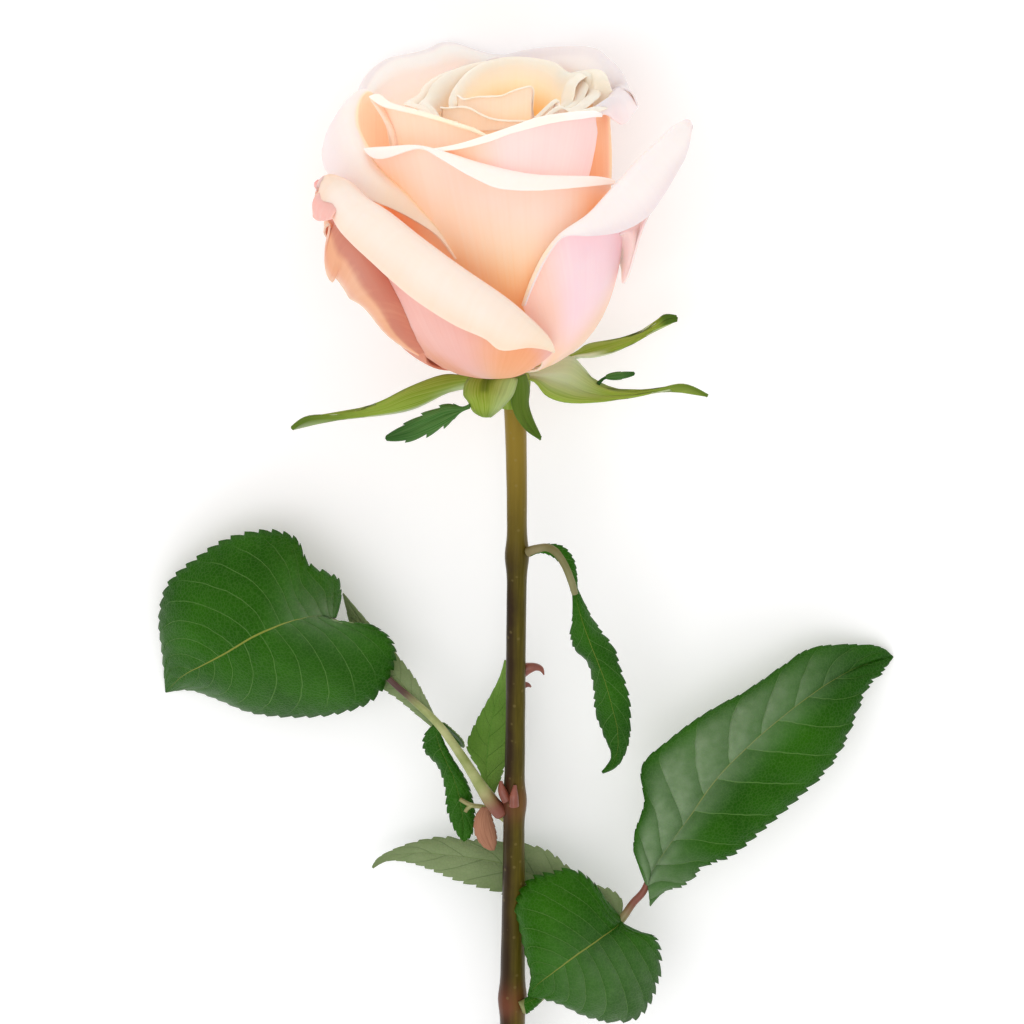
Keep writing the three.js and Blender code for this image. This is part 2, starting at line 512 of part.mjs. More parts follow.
// Stem, with swollen nodes, from under the bloom to the slanted cut
const stemLine = [[514.5, 404], [516, 440], [517, 545], [516, 645], [515.2, 740], [514.2, 800], [513.5, 900],
  [512.5, 1016], [514, 1110], [516, 1215], [515, 1290], [513, 1370], [512, 1436]];
const stemPts = [];
const stemRadii = [];
for (let i = 0; i <= 44; i += 1) {
  const s = i / 44;
  const p = line(stemLine.map(([x, y]) => stem(x, y)), s);
  stemPts.push(p);
  const run = -p[2];
  const swell = NODES.reduce((sum, q) => sum + NODE_SWELL * Math.exp(-(((run - q) / 3.2) ** 2)), 0);
  stemRadii.push(between(STEM_RUN, STEM_RADIUS, run) + swell);
}
let stemBody = stalk(stemPts, stemRadii, 10);
const hook = (pts, radii) => stalk(pts.map((p) => at(...p)), radii, 6);
const prickles = [
  hook([[521, 671, -25.2], [529, 668, -24.6], [536, 667, -24.4], [541, 669, -24.6], [544, 675, -25.2]],
    [1.7, 1.25, 0.85, 0.6, 0.32]),
  hook([[522, 685, -27], [528, 685, -27], [531, 687, -27.4]], [0.9, 0.55, 0.3]),
  hook([[506, 1098, -56], [498, 1094, -55], [492, 1095, -55], [487, 1101, -56]], [1.7, 1.1, 0.7, 0.35]),
  hook([[520, 1268, -72], [529, 1263, -70], [535, 1264, -69.6], [540, 1271, -70]], [1.7, 1.1, 0.7, 0.35]),
];
const buds = [
  hook([[507, 800, -31], [502, 790, -30.4], [501, 781, -30.6]], [1.6, 1.3, 0.6]),
  hook([[514, 806, -30.2], [514, 796, -29.5], [515, 785, -29.4]], [1.5, 1.3, 0.6]),
  hook([[519, 562, -13.4], [520, 553, -12.3], [519.5, 544, -12]], [1.3, 1.1, 0.5]),
];
stemBody = fuse([stemBody, ...prickles, ...buds]);

// Hip with the five sepals
const hip = turned([[STEM_RADIUS[0] + 0.2, -7.2], [3.3, -6], [HIP, -3.6], [HIP, -1.6], [3.2, -0.1]], 14, false);
const sepals = [
  { teeth: 5, cut: 0, bulge: 0.15, // left
    left: [[507, 376, 2], [460, 375, -1.5], [444, 375, -2.5], [408, 388, -3], [381, 402, -3.5], [344, 414, -5],
      [306, 417, -7], [292, 427, -8]],
    mid: [[508, 381, 1], [470, 382, -1], [440, 390, -1.5], [410, 398, -2], [381, 409, -3.5], [344, 416, -5],
      [306, 419, -7], [291, 428, -8]],
    right: [[509, 387, 0], [478, 388, -2], [450, 391, -3], [416, 408, -3.5], [381, 415, -4], [344, 419, -5.2],
      [310, 421, -7], [293, 430, -8]] },
  { teeth: 4, cut: 0, bulge: 0.2, // front, folded back
    left: [[503, 382, 1.8], [470, 378, 1.8], [464, 395, 4.2], [469, 402, 5.5], [474, 412, 6], [482, 416, 6]],
    mid: [[508, 381, 3.6], [490, 379, 4.8], [486, 392, 7], [486, 404, 7.5], [486, 411, 7], [486, 417, 6.2]],
    right: [[514, 381, 3.6], [517, 379, 4.2], [513, 394, 3.8], [506, 403, 4.4], [499, 410, 5], [490, 417, 6]] },
  { teeth: 5, cut: 0.7, bulge: 0.2, // its dark side lobe
    left: [[470, 404, 6], [462, 407, 6.2], [450, 404, 6.4], [432, 410, 6.4], [412, 420, 5], [387, 436, 3]],
    mid: [[470, 406, 6], [461, 410, 6], [446, 414, 6.4], [428, 422, 6], [408, 431, 4.6], [385, 438, 3]],
    right: [[470, 408, 6], [460, 412, 5.8], [450, 422, 5.4], [436, 431, 5], [412, 440, 4], [387, 440, 3]] },
  { teeth: 4, cut: 0, bulge: 0.2, // against the stem
    left: [[513, 377, 3.8], [511, 398, 1.8], [514, 412, 1.8], [524, 428, 1.6], [539, 438, 1]],
    mid: [[519, 376, 3.8], [520, 396, 1.8], [522, 412, 1.4], [529, 427, 1.2], [541, 440, 1]],
    right: [[525, 374, 2.4], [529, 388, 0.6], [528, 404, 0.2], [533, 420, 0.6], [541, 437, 1]] },
  { teeth: 6, cut: 0, bulge: 0.2, // right, broad
    left: [[518, 374, -1.5], [545, 366, -6], [571, 357, -9], [583, 368, -8], [600, 386, -5], [636, 393, -3],
      [660, 388, -2], [682, 384, -1.4], [707, 395, -1]],
    mid: [[518, 377, 0.5], [545, 378, -2], [566, 384, -3.5], [584, 392, -3.5], [604, 396, -3], [637, 394.6, -2.4],
      [662, 389.4, -1.8], [683, 385.6, -1.4], [708, 396, -1]],
    right: [[520, 380, 1], [534, 382, 0.5], [545, 395, 0], [562, 402, -0.6], [600, 402.4, -1.4], [636, 397, -2],
      [662, 391.6, -1.8], [683, 387.6, -1.4], [707, 397.6, -1]] },
  { teeth: 6, cut: 0, bulge: 0.2, // far right
    left: [[512, 374, -4], [574, 354, -12], [587, 345, -15], [611, 340.5, -16], [636, 335, -15.5],
      [654, 325.6, -14.6], [663, 315, -14], [676, 316, -14]],
    mid: [[513, 376, -4], [574, 356, -11], [590, 352, -13], [612, 346, -14], [638, 337, -14.6], [656, 326.8, -14.4],
      [667, 319, -14], [678, 318, -14]],
    right: [[514, 378, -4], [576, 358, -10], [592, 358, -11.5], [616, 352, -13], [640, 339, -14.4],
      [658, 328.4, -14.2], [668, 324, -14], [677, 321, -14]] },
];
const calyxBits = sepals.map((s) => blade({ thick: SEPAL, across: [-1, 0, 1], ...s }));
const lobe = stalk([[598, 384, -4.6], [603, 379, -4.4], [609, 376.4, -4.2]].map((p) => at(...p)), [0.5, 0.42, 0.5], 6);
const lobeTip = blade({ thick: 0.7, across: [-1, 0, 1], teeth: 3, cut: 0,
  left: [[606, 376, -4.2], [611, 373.6, -4.2], [622, 372.4, -4.2], [634, 372.6, -4.2]],
  mid: [[606, 377, -4.2], [612, 376, -4], [623, 375, -4], [635, 373.4, -4.2]],
  right: [[606, 378, -4.2], [612, 379.4, -4.2], [624, 378, -4.2], [634, 374.6, -4.2]] });
const calyx = fuse([hip, ...calyxBits, lobe, lobeTip]);

// Upper leaf: winged stalk arching over and one narrow hanging blade
const clear = stalk(stemPts, stemRadii.map((r) => r + GAP + 0.05), 12);
const leafUpper = fuse([
  stalk([[528.5, 552, -12], [537, 549, -10.4], [548, 548, -9], [557, 553, -8], [565, 565, -8], [571, 580, -8.6],
    [575, 594, -9.6]].map((p) => at(...p)), [1.1, 0.95, 0.9, 0.9, 0.85, 0.8, 0.7], 6),
  blade({ teeth: 6, cut: 0.5, across: [-1, 0, 1],
    left: [[531, 556, -11.4], [542, 553, -9.6], [554, 557.5, -8.4], [562, 566, -8.4], [568, 580, -8.8],
      [571, 591, -9.6]],
    mid: [[531, 552, -11.2], [545, 548.5, -9], [559, 554, -7.6], [567, 566, -7.8], [572, 580, -8.4],
      [574.5, 592, -9.4]],
    right: [[531, 546.5, -11.6], [548, 544, -9.4], [563, 546.5, -8.4], [573, 558, -8.4], [576.5, 573, -9],
      [577, 588, -9.6]] }),
  blade({ teeth: 9, cut: 0.5, bulge: 0.12,
    left: [[572.5, 590, -9.6], [573, 612, -11.4], [571, 637, -16], [575, 649, -18], [587, 661, -19.6],
      [594, 690, -24], [595, 708, -27], [603, 733, -30], [611.6, 756, -33], [602, 771, -35.6]],
    mid: [[574.5, 590, -9.4], [580, 614, -10.6], [589, 640, -13.4], [597, 660, -16.4], [605, 681, -19.6],
      [612, 706, -23.6], [617.5, 730, -27.6], [617, 752, -31.6], [610, 768, -34.4], [602, 772, -35.8]],
    right: [[577, 588, -9.6], [585, 605, -11.6], [597, 626, -15], [612, 645, -17.4], [621, 670, -20.6],
      [629.6, 700, -24.6], [630, 727, -28.6], [628, 745, -31.4], [618, 765, -34], [603, 773, -36]] }),
]);

// Left compound leaf
const leafLeft = fuse([
  stalk([[501, 812, -34.4], [494, 805, -33], [481, 790.5, -31], [458, 758, -28.6], [435, 726, -27], [414, 703, -27.6],
    [390, 680, -29.4], [360, 648, -28.6], [338, 624, -24.6], [328, 618, -22.2]].map((p) => at(...p)),
  [2, 1.9, 1.5, 1.2, 1.05, 0.85, 0.75, 0.7, 0.65, 0.6], 7),
  blade({ teeth: 15, cut: 0.9, bulge: 0.1, across: [-1, -0.5, 0, 0.5, 1],
    left: [[336, 618, -22], [341, 593, -26], [337, 578, -27], [309, 563, -24], [296, 538, -26], [272, 530, -27],
      [230, 537, -28.6], [197, 557, -30.6], [168, 583, -34], [159, 618, -38.4], [162, 650, -42], [166, 691.5, -46.6]],
    mid: [[330, 618, -21.6], [318, 616, -20.8], [300, 619, -20.6], [288, 622, -21], [270, 629, -22.2],
      [253, 636.7, -24], [226, 652.8, -28.6], [205, 664, -33], [184, 675, -39], [166, 691.8, -46.8]],
    right: [[336, 622, -22], [352, 626, -22.6], [371, 625, -24.4], [391, 639, -26.6], [396, 653, -27.6],
      [392, 672, -28.6], [373, 700, -31], [338, 713.5, -34], [292, 717, -37.4], [251, 712.4, -40], [217, 699, -42.6],
      [190, 690, -45], [166, 692, -46.8]] }),
  blade({ teeth: 8, cut: 0.6, across: [-1, 0, 1],
    left: [[432, 727, -27.6], [414, 712, -29.6], [398, 699, -31], [380, 686, -32.4], [362, 660, -33], [343, 594, -33]],
    mid: [[434, 722, -27.6], [418, 702, -28.6], [402, 684, -29.6], [388, 664, -30.6], [368, 632, -31.6],
      [343, 594, -33]],
    right: [[436, 719, -27.6], [426, 699, -29.4], [416, 680, -30.6], [397, 655, -31.6], [368, 622, -32],
      [343, 593, -33]] }),
  blade({ teeth: 8, cut: 0.6, bulge: 0.1,
    left: [[434, 724, -27.8], [424, 736, -30.6], [424, 750, -32.6], [438, 766, -35], [445, 788, -37.4],
      [447, 810, -40], [456, 832, -42.8], [463, 841, -44]],
    mid: [[436, 727, -27.8], [438, 741, -30], [445, 758, -32.6], [454, 778, -35], [460, 800, -37.8],
      [463, 820, -40.8], [463, 841, -44.2]],
    right: [[438, 728, -27.8], [450, 754, -32.6], [466, 780, -36], [473, 800, -38.6], [475, 820, -41.4],
      [471, 836, -43.4], [464, 841, -44.2]] }),
  blade({ teeth: 5, cut: 0.5,
    left: [[437, 722, -27.4], [444, 723, -28], [454, 731, -28.6], [463, 741, -29.4], [464, 746, -30]],
    mid: [[438, 726, -27.6], [444, 727, -29.4], [453, 735, -31], [460, 742, -31.6], [464, 747, -31]],
    right: [[438, 729, -28], [444, 731, -30.6], [452, 739, -32.4], [459, 745, -32.6], [464, 747.6, -31.6]] }),
  blade({ teeth: 8, cut: 0.6, across: [-1, 0, 1],
    left: [[487, 799, -32.8], [480, 772, -34.8], [467, 747, -36], [476, 722, -35.4], [486, 704, -34.6],
      [500, 677, -33], [505, 660, -32]],
    mid: [[489, 800, -32.8], [486, 772, -34.8], [488, 747, -35], [491, 725, -34.4], [496, 703, -33.6],
      [501, 683, -32.6], [505, 660, -32]],
    right: [[491, 801, -32.8], [502, 774, -36], [510, 748, -36.2], [510, 726, -35.4], [508, 704, -34.2],
      [507, 684, -33], [506, 660, -32]] }),
]);

// Right compound leaf
const leafRight = fuse([
  stalk([[521, 1008, -46.6], [533, 1001, -46.8], [556, 978, -46], [590, 947, -44.6], [620, 921, -43],
    [633, 903, -42.2], [643, 892, -41.6], [650, 876, -40.6]].map((p) => at(...p)),
  [1.5, 1.4, 1.2, 1.1, 1, 0.85, 0.8, 0.7], 8),
  blade({ teeth: 3, cut: 0.5,
    left: [[525, 999, -45.4], [533, 994, -45.4], [541, 993, -45.6], [549, 984, -46]],
    mid: [[524, 1004, -45.2], [532, 1000, -45], [540, 996, -45.2], [549, 986, -45.8]],
    right: [[526, 1014, -46], [532, 1010, -46], [540, 1002, -46], [550, 988, -46]] }),
  blade({ teeth: 18, cut: 0.9, bulge: 0.08, across: [-1, -0.5, 0, 0.5, 1],
    left: [[646, 884, -40.6], [639, 866, -38], [633.6, 849, -36.4], [636, 828, -35], [644, 805, -33.6],
      [642, 766, -33], [670, 739, -32.6], [704, 714, -32.6], [746, 691, -33], [781, 667, -34], [809, 649, -35.6],
      [845, 644.6, -38.6], [880, 647, -42], [892, 656, -44.6]],
    mid: [[648, 886, -40.6], [653, 870, -39.4], [665, 851, -37.6], [690, 816, -34.6], [718, 777, -32.2],
      [756, 739, -31.2], [798.5, 704, -33], [830, 682, -36.4], [858, 667, -40.2], [892.5, 656.3, -44.8]],
    right: [[650, 906, -42], [665, 891, -41], [686, 884, -39.6], [704, 866, -38], [730, 857, -38],
      [763, 830, -37.6], [802, 795, -37.4], [828, 768, -37.6], [843, 745, -38], [856, 714, -38.6],
      [867, 688, -40], [883, 671, -42.6], [893, 657, -44.8]] }),
  blade({ teeth: 13, cut: 0.7, across: [-1, 0, 1],
    left: [[621, 915, -43], [622, 900, -44], [612, 890, -45], [596, 885, -45.6], [570, 868, -46], [549, 851, -46.2],
      [525, 844, -46.6], [476, 840, -46.6], [439, 837, -46.6], [402, 846, -47.4], [378, 858, -48.6], [372, 867, -49.4]],
    mid: [[620, 921, -43], [600, 909, -44.4], [577, 896, -45.2], [548, 881, -45.8], [500, 863, -45.8],
      [448, 855, -45.8], [410, 853, -46.8], [385, 859, -48.4], [372, 867, -49.4]],
    right: [[618, 924, -43], [596, 925, -45], [566, 917, -46.2], [530, 903, -46.8], [500, 893, -46.8],
      [458, 881, -46.8], [434, 871, -47], [412, 863, -47.6], [388, 860.5, -48.8], [373, 868, -49.6]] }),
  blade({ teeth: 14, cut: 0.8, bulge: 0.12, across: [-1, -0.5, 0, 0.5, 1],
    left: [[620, 917, -42.6], [606, 900, -40], [592, 881, -38.4], [576, 870, -38], [549, 872, -38], [532, 877, -38],
      [519, 892, -38.6], [516, 908, -39.2], [520, 930, -40], [526, 956, -40.8], [531, 975, -42], [528, 995, -43.4]],
    mid: [[621, 921, -42.4], [615, 928, -40.4], [605, 935, -38.6], [591, 945, -37.4], [577, 954.5, -37],
      [563, 965, -37.6], [549, 975.5, -39], [538, 984, -41], [528, 995.5, -43.6]],
    right: [[623, 924, -42.6], [640, 932, -41.6], [656, 938, -42], [661, 956, -42.6], [658, 981, -43.4],
      [651, 1002, -44], [636, 1019, -44.4], [606, 1021, -44.2], [585, 1016, -44], [560, 1004, -43.6],
      [543, 999, -43.4], [529, 996, -43.6]] }),
]);

// Dry bract on its forked twig beside the middle node
const bract = fuse([
  stalk([[506, 821, -36.4], [497, 814.5, -37.4], [485, 807.5, -37.3], [471, 805, -36.6], [460, 799, -36]].map((p) => at(...p)),
    [0.6, 0.6, 0.55, 0.5, 0.45], 6),
  stalk([[472, 805, -36.6], [468, 808, -36.6], [465, 812, -36.6]].map((p) => at(...p)), [0.5, 0.45, 0.4], 6),
  blade({ teeth: 4, cut: 0.3, bulge: 0.1, thick: 0.6,
    left: [[482, 807, -36.8], [475, 818, -37.6], [475, 833, -38.6], [483, 846, -39.4], [491, 850, -39.6]],
    mid: [[485, 807, -36.8], [484, 820, -37], [486, 833, -37.8], [490, 843, -38.8], [493, 850, -39.6]],
    right: [[488, 807, -36.8], [493, 821, -37.8], [496, 832, -38.6], [496.5, 841, -39.2], [494, 850, -39.6]] }),
]);

// Everything is trimmed level where it meets the surface
function level(body) {
  if (body.boundingBox().min[2] >= 0) return body;
  const below = new THREE.BoxGeometry(400, 800, 20);
  below.translate(0, 0, -10);
  return body.subtract(joinable(below));
}

// Largest outer body only, so no sealed pocket is left between petals
function tidy(body) {
  const bits = body.simplify(FLAT).decompose().filter((b) => b.volume() > 0).sort((a, b) => b.volume() - a.volume());
  return bits[0];
}

const finish = (color, roughness) => new THREE.MeshStandardMaterial({ color, roughness, metalness: 0 });
const petalSkin = finish(0xf6cdb9, 0.6);
const sepalSkin = finish(0x8fae52, 0.55);
const bark = finish(0x5f5a2c, 0.55);
const leafSkin = finish(0x1f5a1c, 0.4);
const dry = finish(0xb07862, 0.8);
const rose = new THREE.Group();
rose.name = 'cut_rose';
[['bloom', bloom, petalSkin], ['stem', stemBody, bark], ['calyx', calyx.subtract(clear), sepalSkin],
  ['leaf_upper', leafUpper.subtract(clear), leafSkin], ['leaf_left', leafLeft.subtract(clear), leafSkin],
  ['leaf_right', leafRight.subtract(clear), leafSkin], ['bract', bract.subtract(clear), dry],
].forEach(([name, body, material]) => {
  const { vertProperties, triVerts } = tidy(level(body)).getMesh();
  const shape = new THREE.BufferGeometry();
  shape.setAttribute('position', new THREE.Float32BufferAttribute(vertProperties, 3));
  shape.setIndex(Array.from(triVerts));
  shape.computeVertexNormals();
  const node = new THREE.Mesh(shape, material);
  node.name = name;
  rose.add(node);
});

export default rose;
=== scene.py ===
import bmesh
import bpy
from math import asin, cos, exp, hypot, pi, radians, sin, sqrt
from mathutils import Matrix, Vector, noise


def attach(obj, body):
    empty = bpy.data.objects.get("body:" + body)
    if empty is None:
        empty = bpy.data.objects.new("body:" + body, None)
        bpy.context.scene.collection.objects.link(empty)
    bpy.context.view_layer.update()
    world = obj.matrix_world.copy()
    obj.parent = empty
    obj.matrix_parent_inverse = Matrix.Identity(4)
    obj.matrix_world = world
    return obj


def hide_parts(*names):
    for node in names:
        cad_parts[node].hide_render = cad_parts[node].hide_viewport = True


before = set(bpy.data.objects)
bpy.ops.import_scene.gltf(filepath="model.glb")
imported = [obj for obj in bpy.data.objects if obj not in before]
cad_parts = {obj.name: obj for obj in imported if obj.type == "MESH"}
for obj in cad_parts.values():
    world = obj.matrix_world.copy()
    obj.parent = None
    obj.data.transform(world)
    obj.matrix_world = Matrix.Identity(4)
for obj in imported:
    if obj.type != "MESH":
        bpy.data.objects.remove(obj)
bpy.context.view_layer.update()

# The view: a camera 1.2 m over the rose as it lies, looking down on it with the bloom at the top of the
# picture. Places on the rose are read off a plan of 0.21 mm squares seen from there, 1024 squares each way,
# and depths in mm are counted toward the view from the plane through the bloom's base.
STEP = 0.21
FAR = 1200.0
TIP = radians(20)
SLOPE = radians(6)
MM = 0.001
CENTRE = 512.0
PLAN_WIDTH = 2 * CENTRE * STEP
BASE = (510.0, 370.0)
BLOOM_BASE = Vector((-3.62, 92.84, 29.2))


def at(px, py, depth):
    """Point in mm with the bloom's base at the origin and +Z up its axis, from a plan square and a depth."""
    k = (FAR - depth) / FAR
    u = (px - CENTRE) * STEP * k - (BASE[0] - CENTRE) * STEP
    v = (CENTRE - py) * STEP * k - (CENTRE - BASE[1]) * STEP
    return Vector((u, v * sin(TIP) - depth * cos(TIP), v * cos(TIP) + depth * sin(TIP)))


def laid(p):
    """The same point in metres, with the rose laid down on the surface."""
    across = p.z * cos(SLOPE) + p.y * sin(SLOPE)
    up = p.z * sin(SLOPE) - p.y * cos(SLOPE)
    return (Vector((p.x, across, up)) + BLOOM_BASE) * MM


camera_data = bpy.data.cameras.new("camera")
camera_data.sensor_width = 36.0
camera_data.lens = camera_data.sensor_width * FAR / PLAN_WIDTH
camera_data.clip_end = 10.0
camera = bpy.data.objects.new("camera", camera_data)
bpy.context.scene.collection.objects.link(camera)
VIEW_TILT = TIP - SLOPE
VIEW = Vector((0, sin(VIEW_TILT), cos(VIEW_TILT)))
camera.location = laid(at(CENTRE, CENTRE, 0.0)) + VIEW * FAR * MM
camera.rotation_euler = (-VIEW_TILT, 0, 0)
bpy.context.scene.camera = camera

# The petals: soft skin under half a millimetre thick, cream on the inside and blushed pink outside, with a
# painted orange glow low in the folds, and painted shade in the folds and along the outer rims. Each grows
# from the hip, stands on its own layer and rolls over at the rim.
PETAL_THICK = 0.45
# Of these values, the orange glow, the fold and lilac colours and the glow's strength are painted light and
# shade; the deep yellow is partly painted shade.
PETAL_PAINTS = ("pink", "warm", "glow", "yellow", "peach", "deep", "edge", "fold", "lilac", "painted_light")
# A petal's rows from foot to margin, and the shares of them where its body and its bend to the crest end.
PETAL_ROWS = 28
BODY_END = 0.45
CREST_AT = 0.7
# A layer's radius in mm at its foot, the steps of its wall, and the tries that find a spot on it.
LAYER_FOOT = 2.5
LAYER_STEPS = 60
SPOT_TRIES = 80
# Turns count as so many mm each radian where a rim's points are spaced out along it.
MM_PER_RADIAN = 30
# No piece comes nearer to the surface under the rose than this, in mm.
FLOOR_GAP = 0.24
# The bloom leans to the left, seen from the view.
LEAN = radians(-7)
TOWARD_VIEW = Vector((0, -cos(TIP), sin(TIP)))


def lean(p):
    """A point of the upright bloom, leaned to the left with it."""
    return Vector((p.x * cos(LEAN) + p.z * sin(LEAN), p.y, -p.x * sin(LEAN) + p.z * cos(LEAN)))


def unlean(p):
    """A point of the leaning bloom, set upright."""
    return Vector((p.x * cos(LEAN) - p.z * sin(LEAN), p.y, p.x * sin(LEAN) + p.z * cos(LEAN)))


def line(points, t):
    """A smooth line through points, with t from 0 to 1."""
    points = [Vector(p) for p in points]
    n = len(points)
    if n == 2:
        return points[0].lerp(points[1], t)
    knots = [0.0]
    for a, b in zip(points, points[1:]):
        knots.append(knots[-1] + sqrt((b - a).length))
    knots = [k / knots[-1] for k in knots]
    gaps = [b - a for a, b in zip(knots, knots[1:])]
    rises = [(b - a) / g for a, b, g in zip(points, points[1:], gaps)]
    slopes = [rises[0]]
    for i in range(1, n - 1):
        slopes.append((rises[i - 1] * gaps[i] + rises[i] * gaps[i - 1]) / (gaps[i - 1] + gaps[i]))
    slopes.append(rises[-1])
    slopes[0] = rises[0] * 1.5 - slopes[1] * 0.5
    slopes[-1] = rises[-1] * 1.5 - slopes[-2] * 0.5
    j = 0
    while j < n - 2 and t >= knots[j + 1]:
        j += 1
    return bend(points[j], points[j + 1], slopes[j], slopes[j + 1], gaps[j], (t - knots[j]) / gaps[j])


def bend(a, b, leave, arrive, length, x):
    """A curve from a to b that leaves and arrives in the given directions."""
    return (a * (2 * x ** 3 - 3 * x ** 2 + 1) + leave * (length * (x ** 3 - 2 * x ** 2 + x))
            + b * (3 * x ** 2 - 2 * x ** 3) + arrive * (length * (x ** 3 - x ** 2)))


def between(xs, ys, x):
    """A value read off a table of straight stretches."""
    if x <= xs[0]:
        return ys[0]
    for i in range(len(xs) - 1):
        if x <= xs[i + 1]:
            return ys[i] + (ys[i + 1] - ys[i]) * (x - xs[i]) / (xs[i + 1] - xs[i])
    return ys[-1]


def smooth(low, high, x):
    """0 at low and 1 at high, eased at both. It falls where high is the smaller."""
    x = max(0.0, min(1.0, (x - low) / (high - low)))
    return x * x * (3 - 2 * x)


class Layer:
    """The cup that one petal stands on: its radius at the belly and rim, its height, and its middle's drift.
    Turns go round it from the side that faces the view, and run is the way up its wall."""

    def __init__(self, belly, top, height, drift_x=0.0, drift_y=0.0):
        self.height, self.drift_x, self.drift_y = height, drift_x, drift_y
        self.r, self.z, self.run = [], [], [0.0]
        for i in range(LAYER_STEPS):
            t = i / (LAYER_STEPS - 1)
            w = ((1 - t) ** 3, 3 * t * (1 - t) ** 2, 3 * t * t * (1 - t), t ** 3)
            self.r.append(w[0] * LAYER_FOOT + w[1] * belly * 0.82 + w[2] * belly * 1.04 + w[3] * top)
            self.z.append((w[1] * 0.065 + w[2] * 0.33 + w[3]) * height)
            if i:
                self.run.append(self.run[-1] + hypot(self.r[i] - self.r[i - 1], self.z[i] - self.z[i - 1]))
        self.lip = (self.r[-1] - self.r[-4]) / (self.z[-1] - self.z[-4])

    def radius(self, z):
        """Radius at a height, and on past the rim at its last slope."""
        return between(self.z, self.r, z) + max(z - self.height, 0.0) * self.lip

    def along(self, z):
        """The way up the wall to a height."""
        return between(self.z, self.run, z) + max(z - self.height, 0.0) * hypot(1, self.lip)

    def rise(self, run):
        """The height reached by so much of the way up the wall."""
        return between(self.run, self.z, run) + max(run - self.run[-1], 0.0) / hypot(1, self.lip)

    def place(self, turn, z, out=0.0):
        """The point at a turn and height, so much outside the wall."""
        q = self.radius(z) + out
        k = z / self.height
        return Vector((q * sin(turn) + self.drift_x * k, -q * cos(turn) + self.drift_y * k, z))

    def spot(self, px, py, out, far):
        """Turn and height of the spot on this layer that lies under a plan square."""
        turn = pi if far else 0.0
        z = 30.0
        ray = unlean(TOWARD_VIEW)
        for _ in range(SPOT_TRIES):
            r = self.radius(z) + out
            p = lean(self.place(turn, z, out))
            q = unlean(at(px, py, -p.y * cos(TIP) + p.z * sin(TIP)))
            k = z / self.height
            turn = asin(max(-1.0, min(1.0, (q.x - self.drift_x * k) / r)))
            if far:
                turn = pi - turn
            m = (-r * cos(turn) + self.drift_y * k - q.y) / ray.y
            z = max(0.5 * z + 0.5 * (q.z + m * ray.z), 0.05)
        return turn, z

    def rim(self, points):
        """A line round the petal: plan squares on the near or far side, or turns in degrees with heights."""
        res = []
        for p in points:
            if p[0] == "turn":
                turn, z, out = radians(p[1]), p[2], p[3]
            elif p[0] == "far":
                turn, z = self.spot(p[1], p[2], p[3], True)
                out = p[3]
            else:
                turn, z = self.spot(p[0], p[1], p[2], False)
                out = p[2]
            while res and turn - res[-1][0] > pi:
                turn -= 2 * pi
            while res and turn - res[-1][0] < -pi:
                turn += 2 * pi
            res.append((turn, z, out))
        return res


def sheet(name, columns, rows, place, paint=None, shut=False):
    """A grid placed by place(s, t) in mm, with its UV map and painted values. shut joins it into a tube."""
    bm = bmesh.new()
    uv = bm.loops.layers.uv.new("UVMap")
    layers = {key: bm.verts.layers.float.new(key) for key in (paint(0.5, 0.5) if paint else {})}
    bmesh.ops.create_grid(bm, x_segments=columns, y_segments=rows, size=0.5)
    where = {v: (v.co.x + 0.5, v.co.y + 0.5) for v in bm.verts}
    for face in bm.faces:
        face.smooth = True
        for corner in face.loops:
            corner[uv].uv = where[corner.vert]
    for v, (s, t) in where.items():
        v.co = laid(place(s, t))
        v.co.z = max(v.co.z, FLOOR_GAP * MM)
        painted = paint(s, t) if paint else {}
        for key, layer in layers.items():
            v[layer] = painted[key]
    if shut:
        bmesh.ops.remove_doubles(bm, verts=bm.verts, dist=1e-6)
        bmesh.ops.holes_fill(bm, edges=[e for e in bm.edges if e.is_boundary])
        bmesh.ops.recalc_face_normals(bm, faces=bm.faces)
    mesh = bpy.data.meshes.new(name)
    bm.to_mesh(mesh)
    bm.free()
    piece = bpy.data.objects.new(name, mesh)
    bpy.context.scene.collection.objects.link(piece)
    return piece


def thicken(piece, thick):
    """Give a sheet its thickness in mm. Its second material takes the far side and the rim."""
    wall = piece.modifiers.new("thickness", "SOLIDIFY")
    wall.thickness = thick * MM
    wall.offset = 0.0
    wall.material_offset = 1
    wall.material_offset_rim = 1


def grown(piece, node, slot, *skins):
    """Dress a piece in its skins, tie it to the rose, and hide the imported part that it stands for."""
    for skin in skins:
        piece.data.materials.append(skin)
    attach(piece, "root")
    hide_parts(node)


def linear(code):
    """An sRGB hex colour as linear RGBA."""
    parts = [int(code[i:i + 2], 16) / 255 for i in (1, 3, 5)]
    return tuple(c / 12.92 if c <= 0.04045 else ((c + 0.055) / 1.055) ** 2.4 for c in parts) + (1.0,)


def add(tree, kind, inputs, **settings):
    """Add a node with its settings, and its inputs as values or links, and give its outputs."""
    made = tree.nodes.new("ShaderNode" + kind)
    for key, value in settings.items():
        setattr(made, key, value)
    for key, value in inputs.items():
        if isinstance(value, bpy.types.NodeSocket):
            tree.links.new(value, made.inputs[key])
        else:
            made.inputs[key].default_value = value
    return made.outputs


def material(name):
    """A new material and its empty tree of nodes."""
    made = bpy.data.materials.new(name)
    made.use_nodes = True
    made.node_tree.nodes.clear()
    return made, made.node_tree


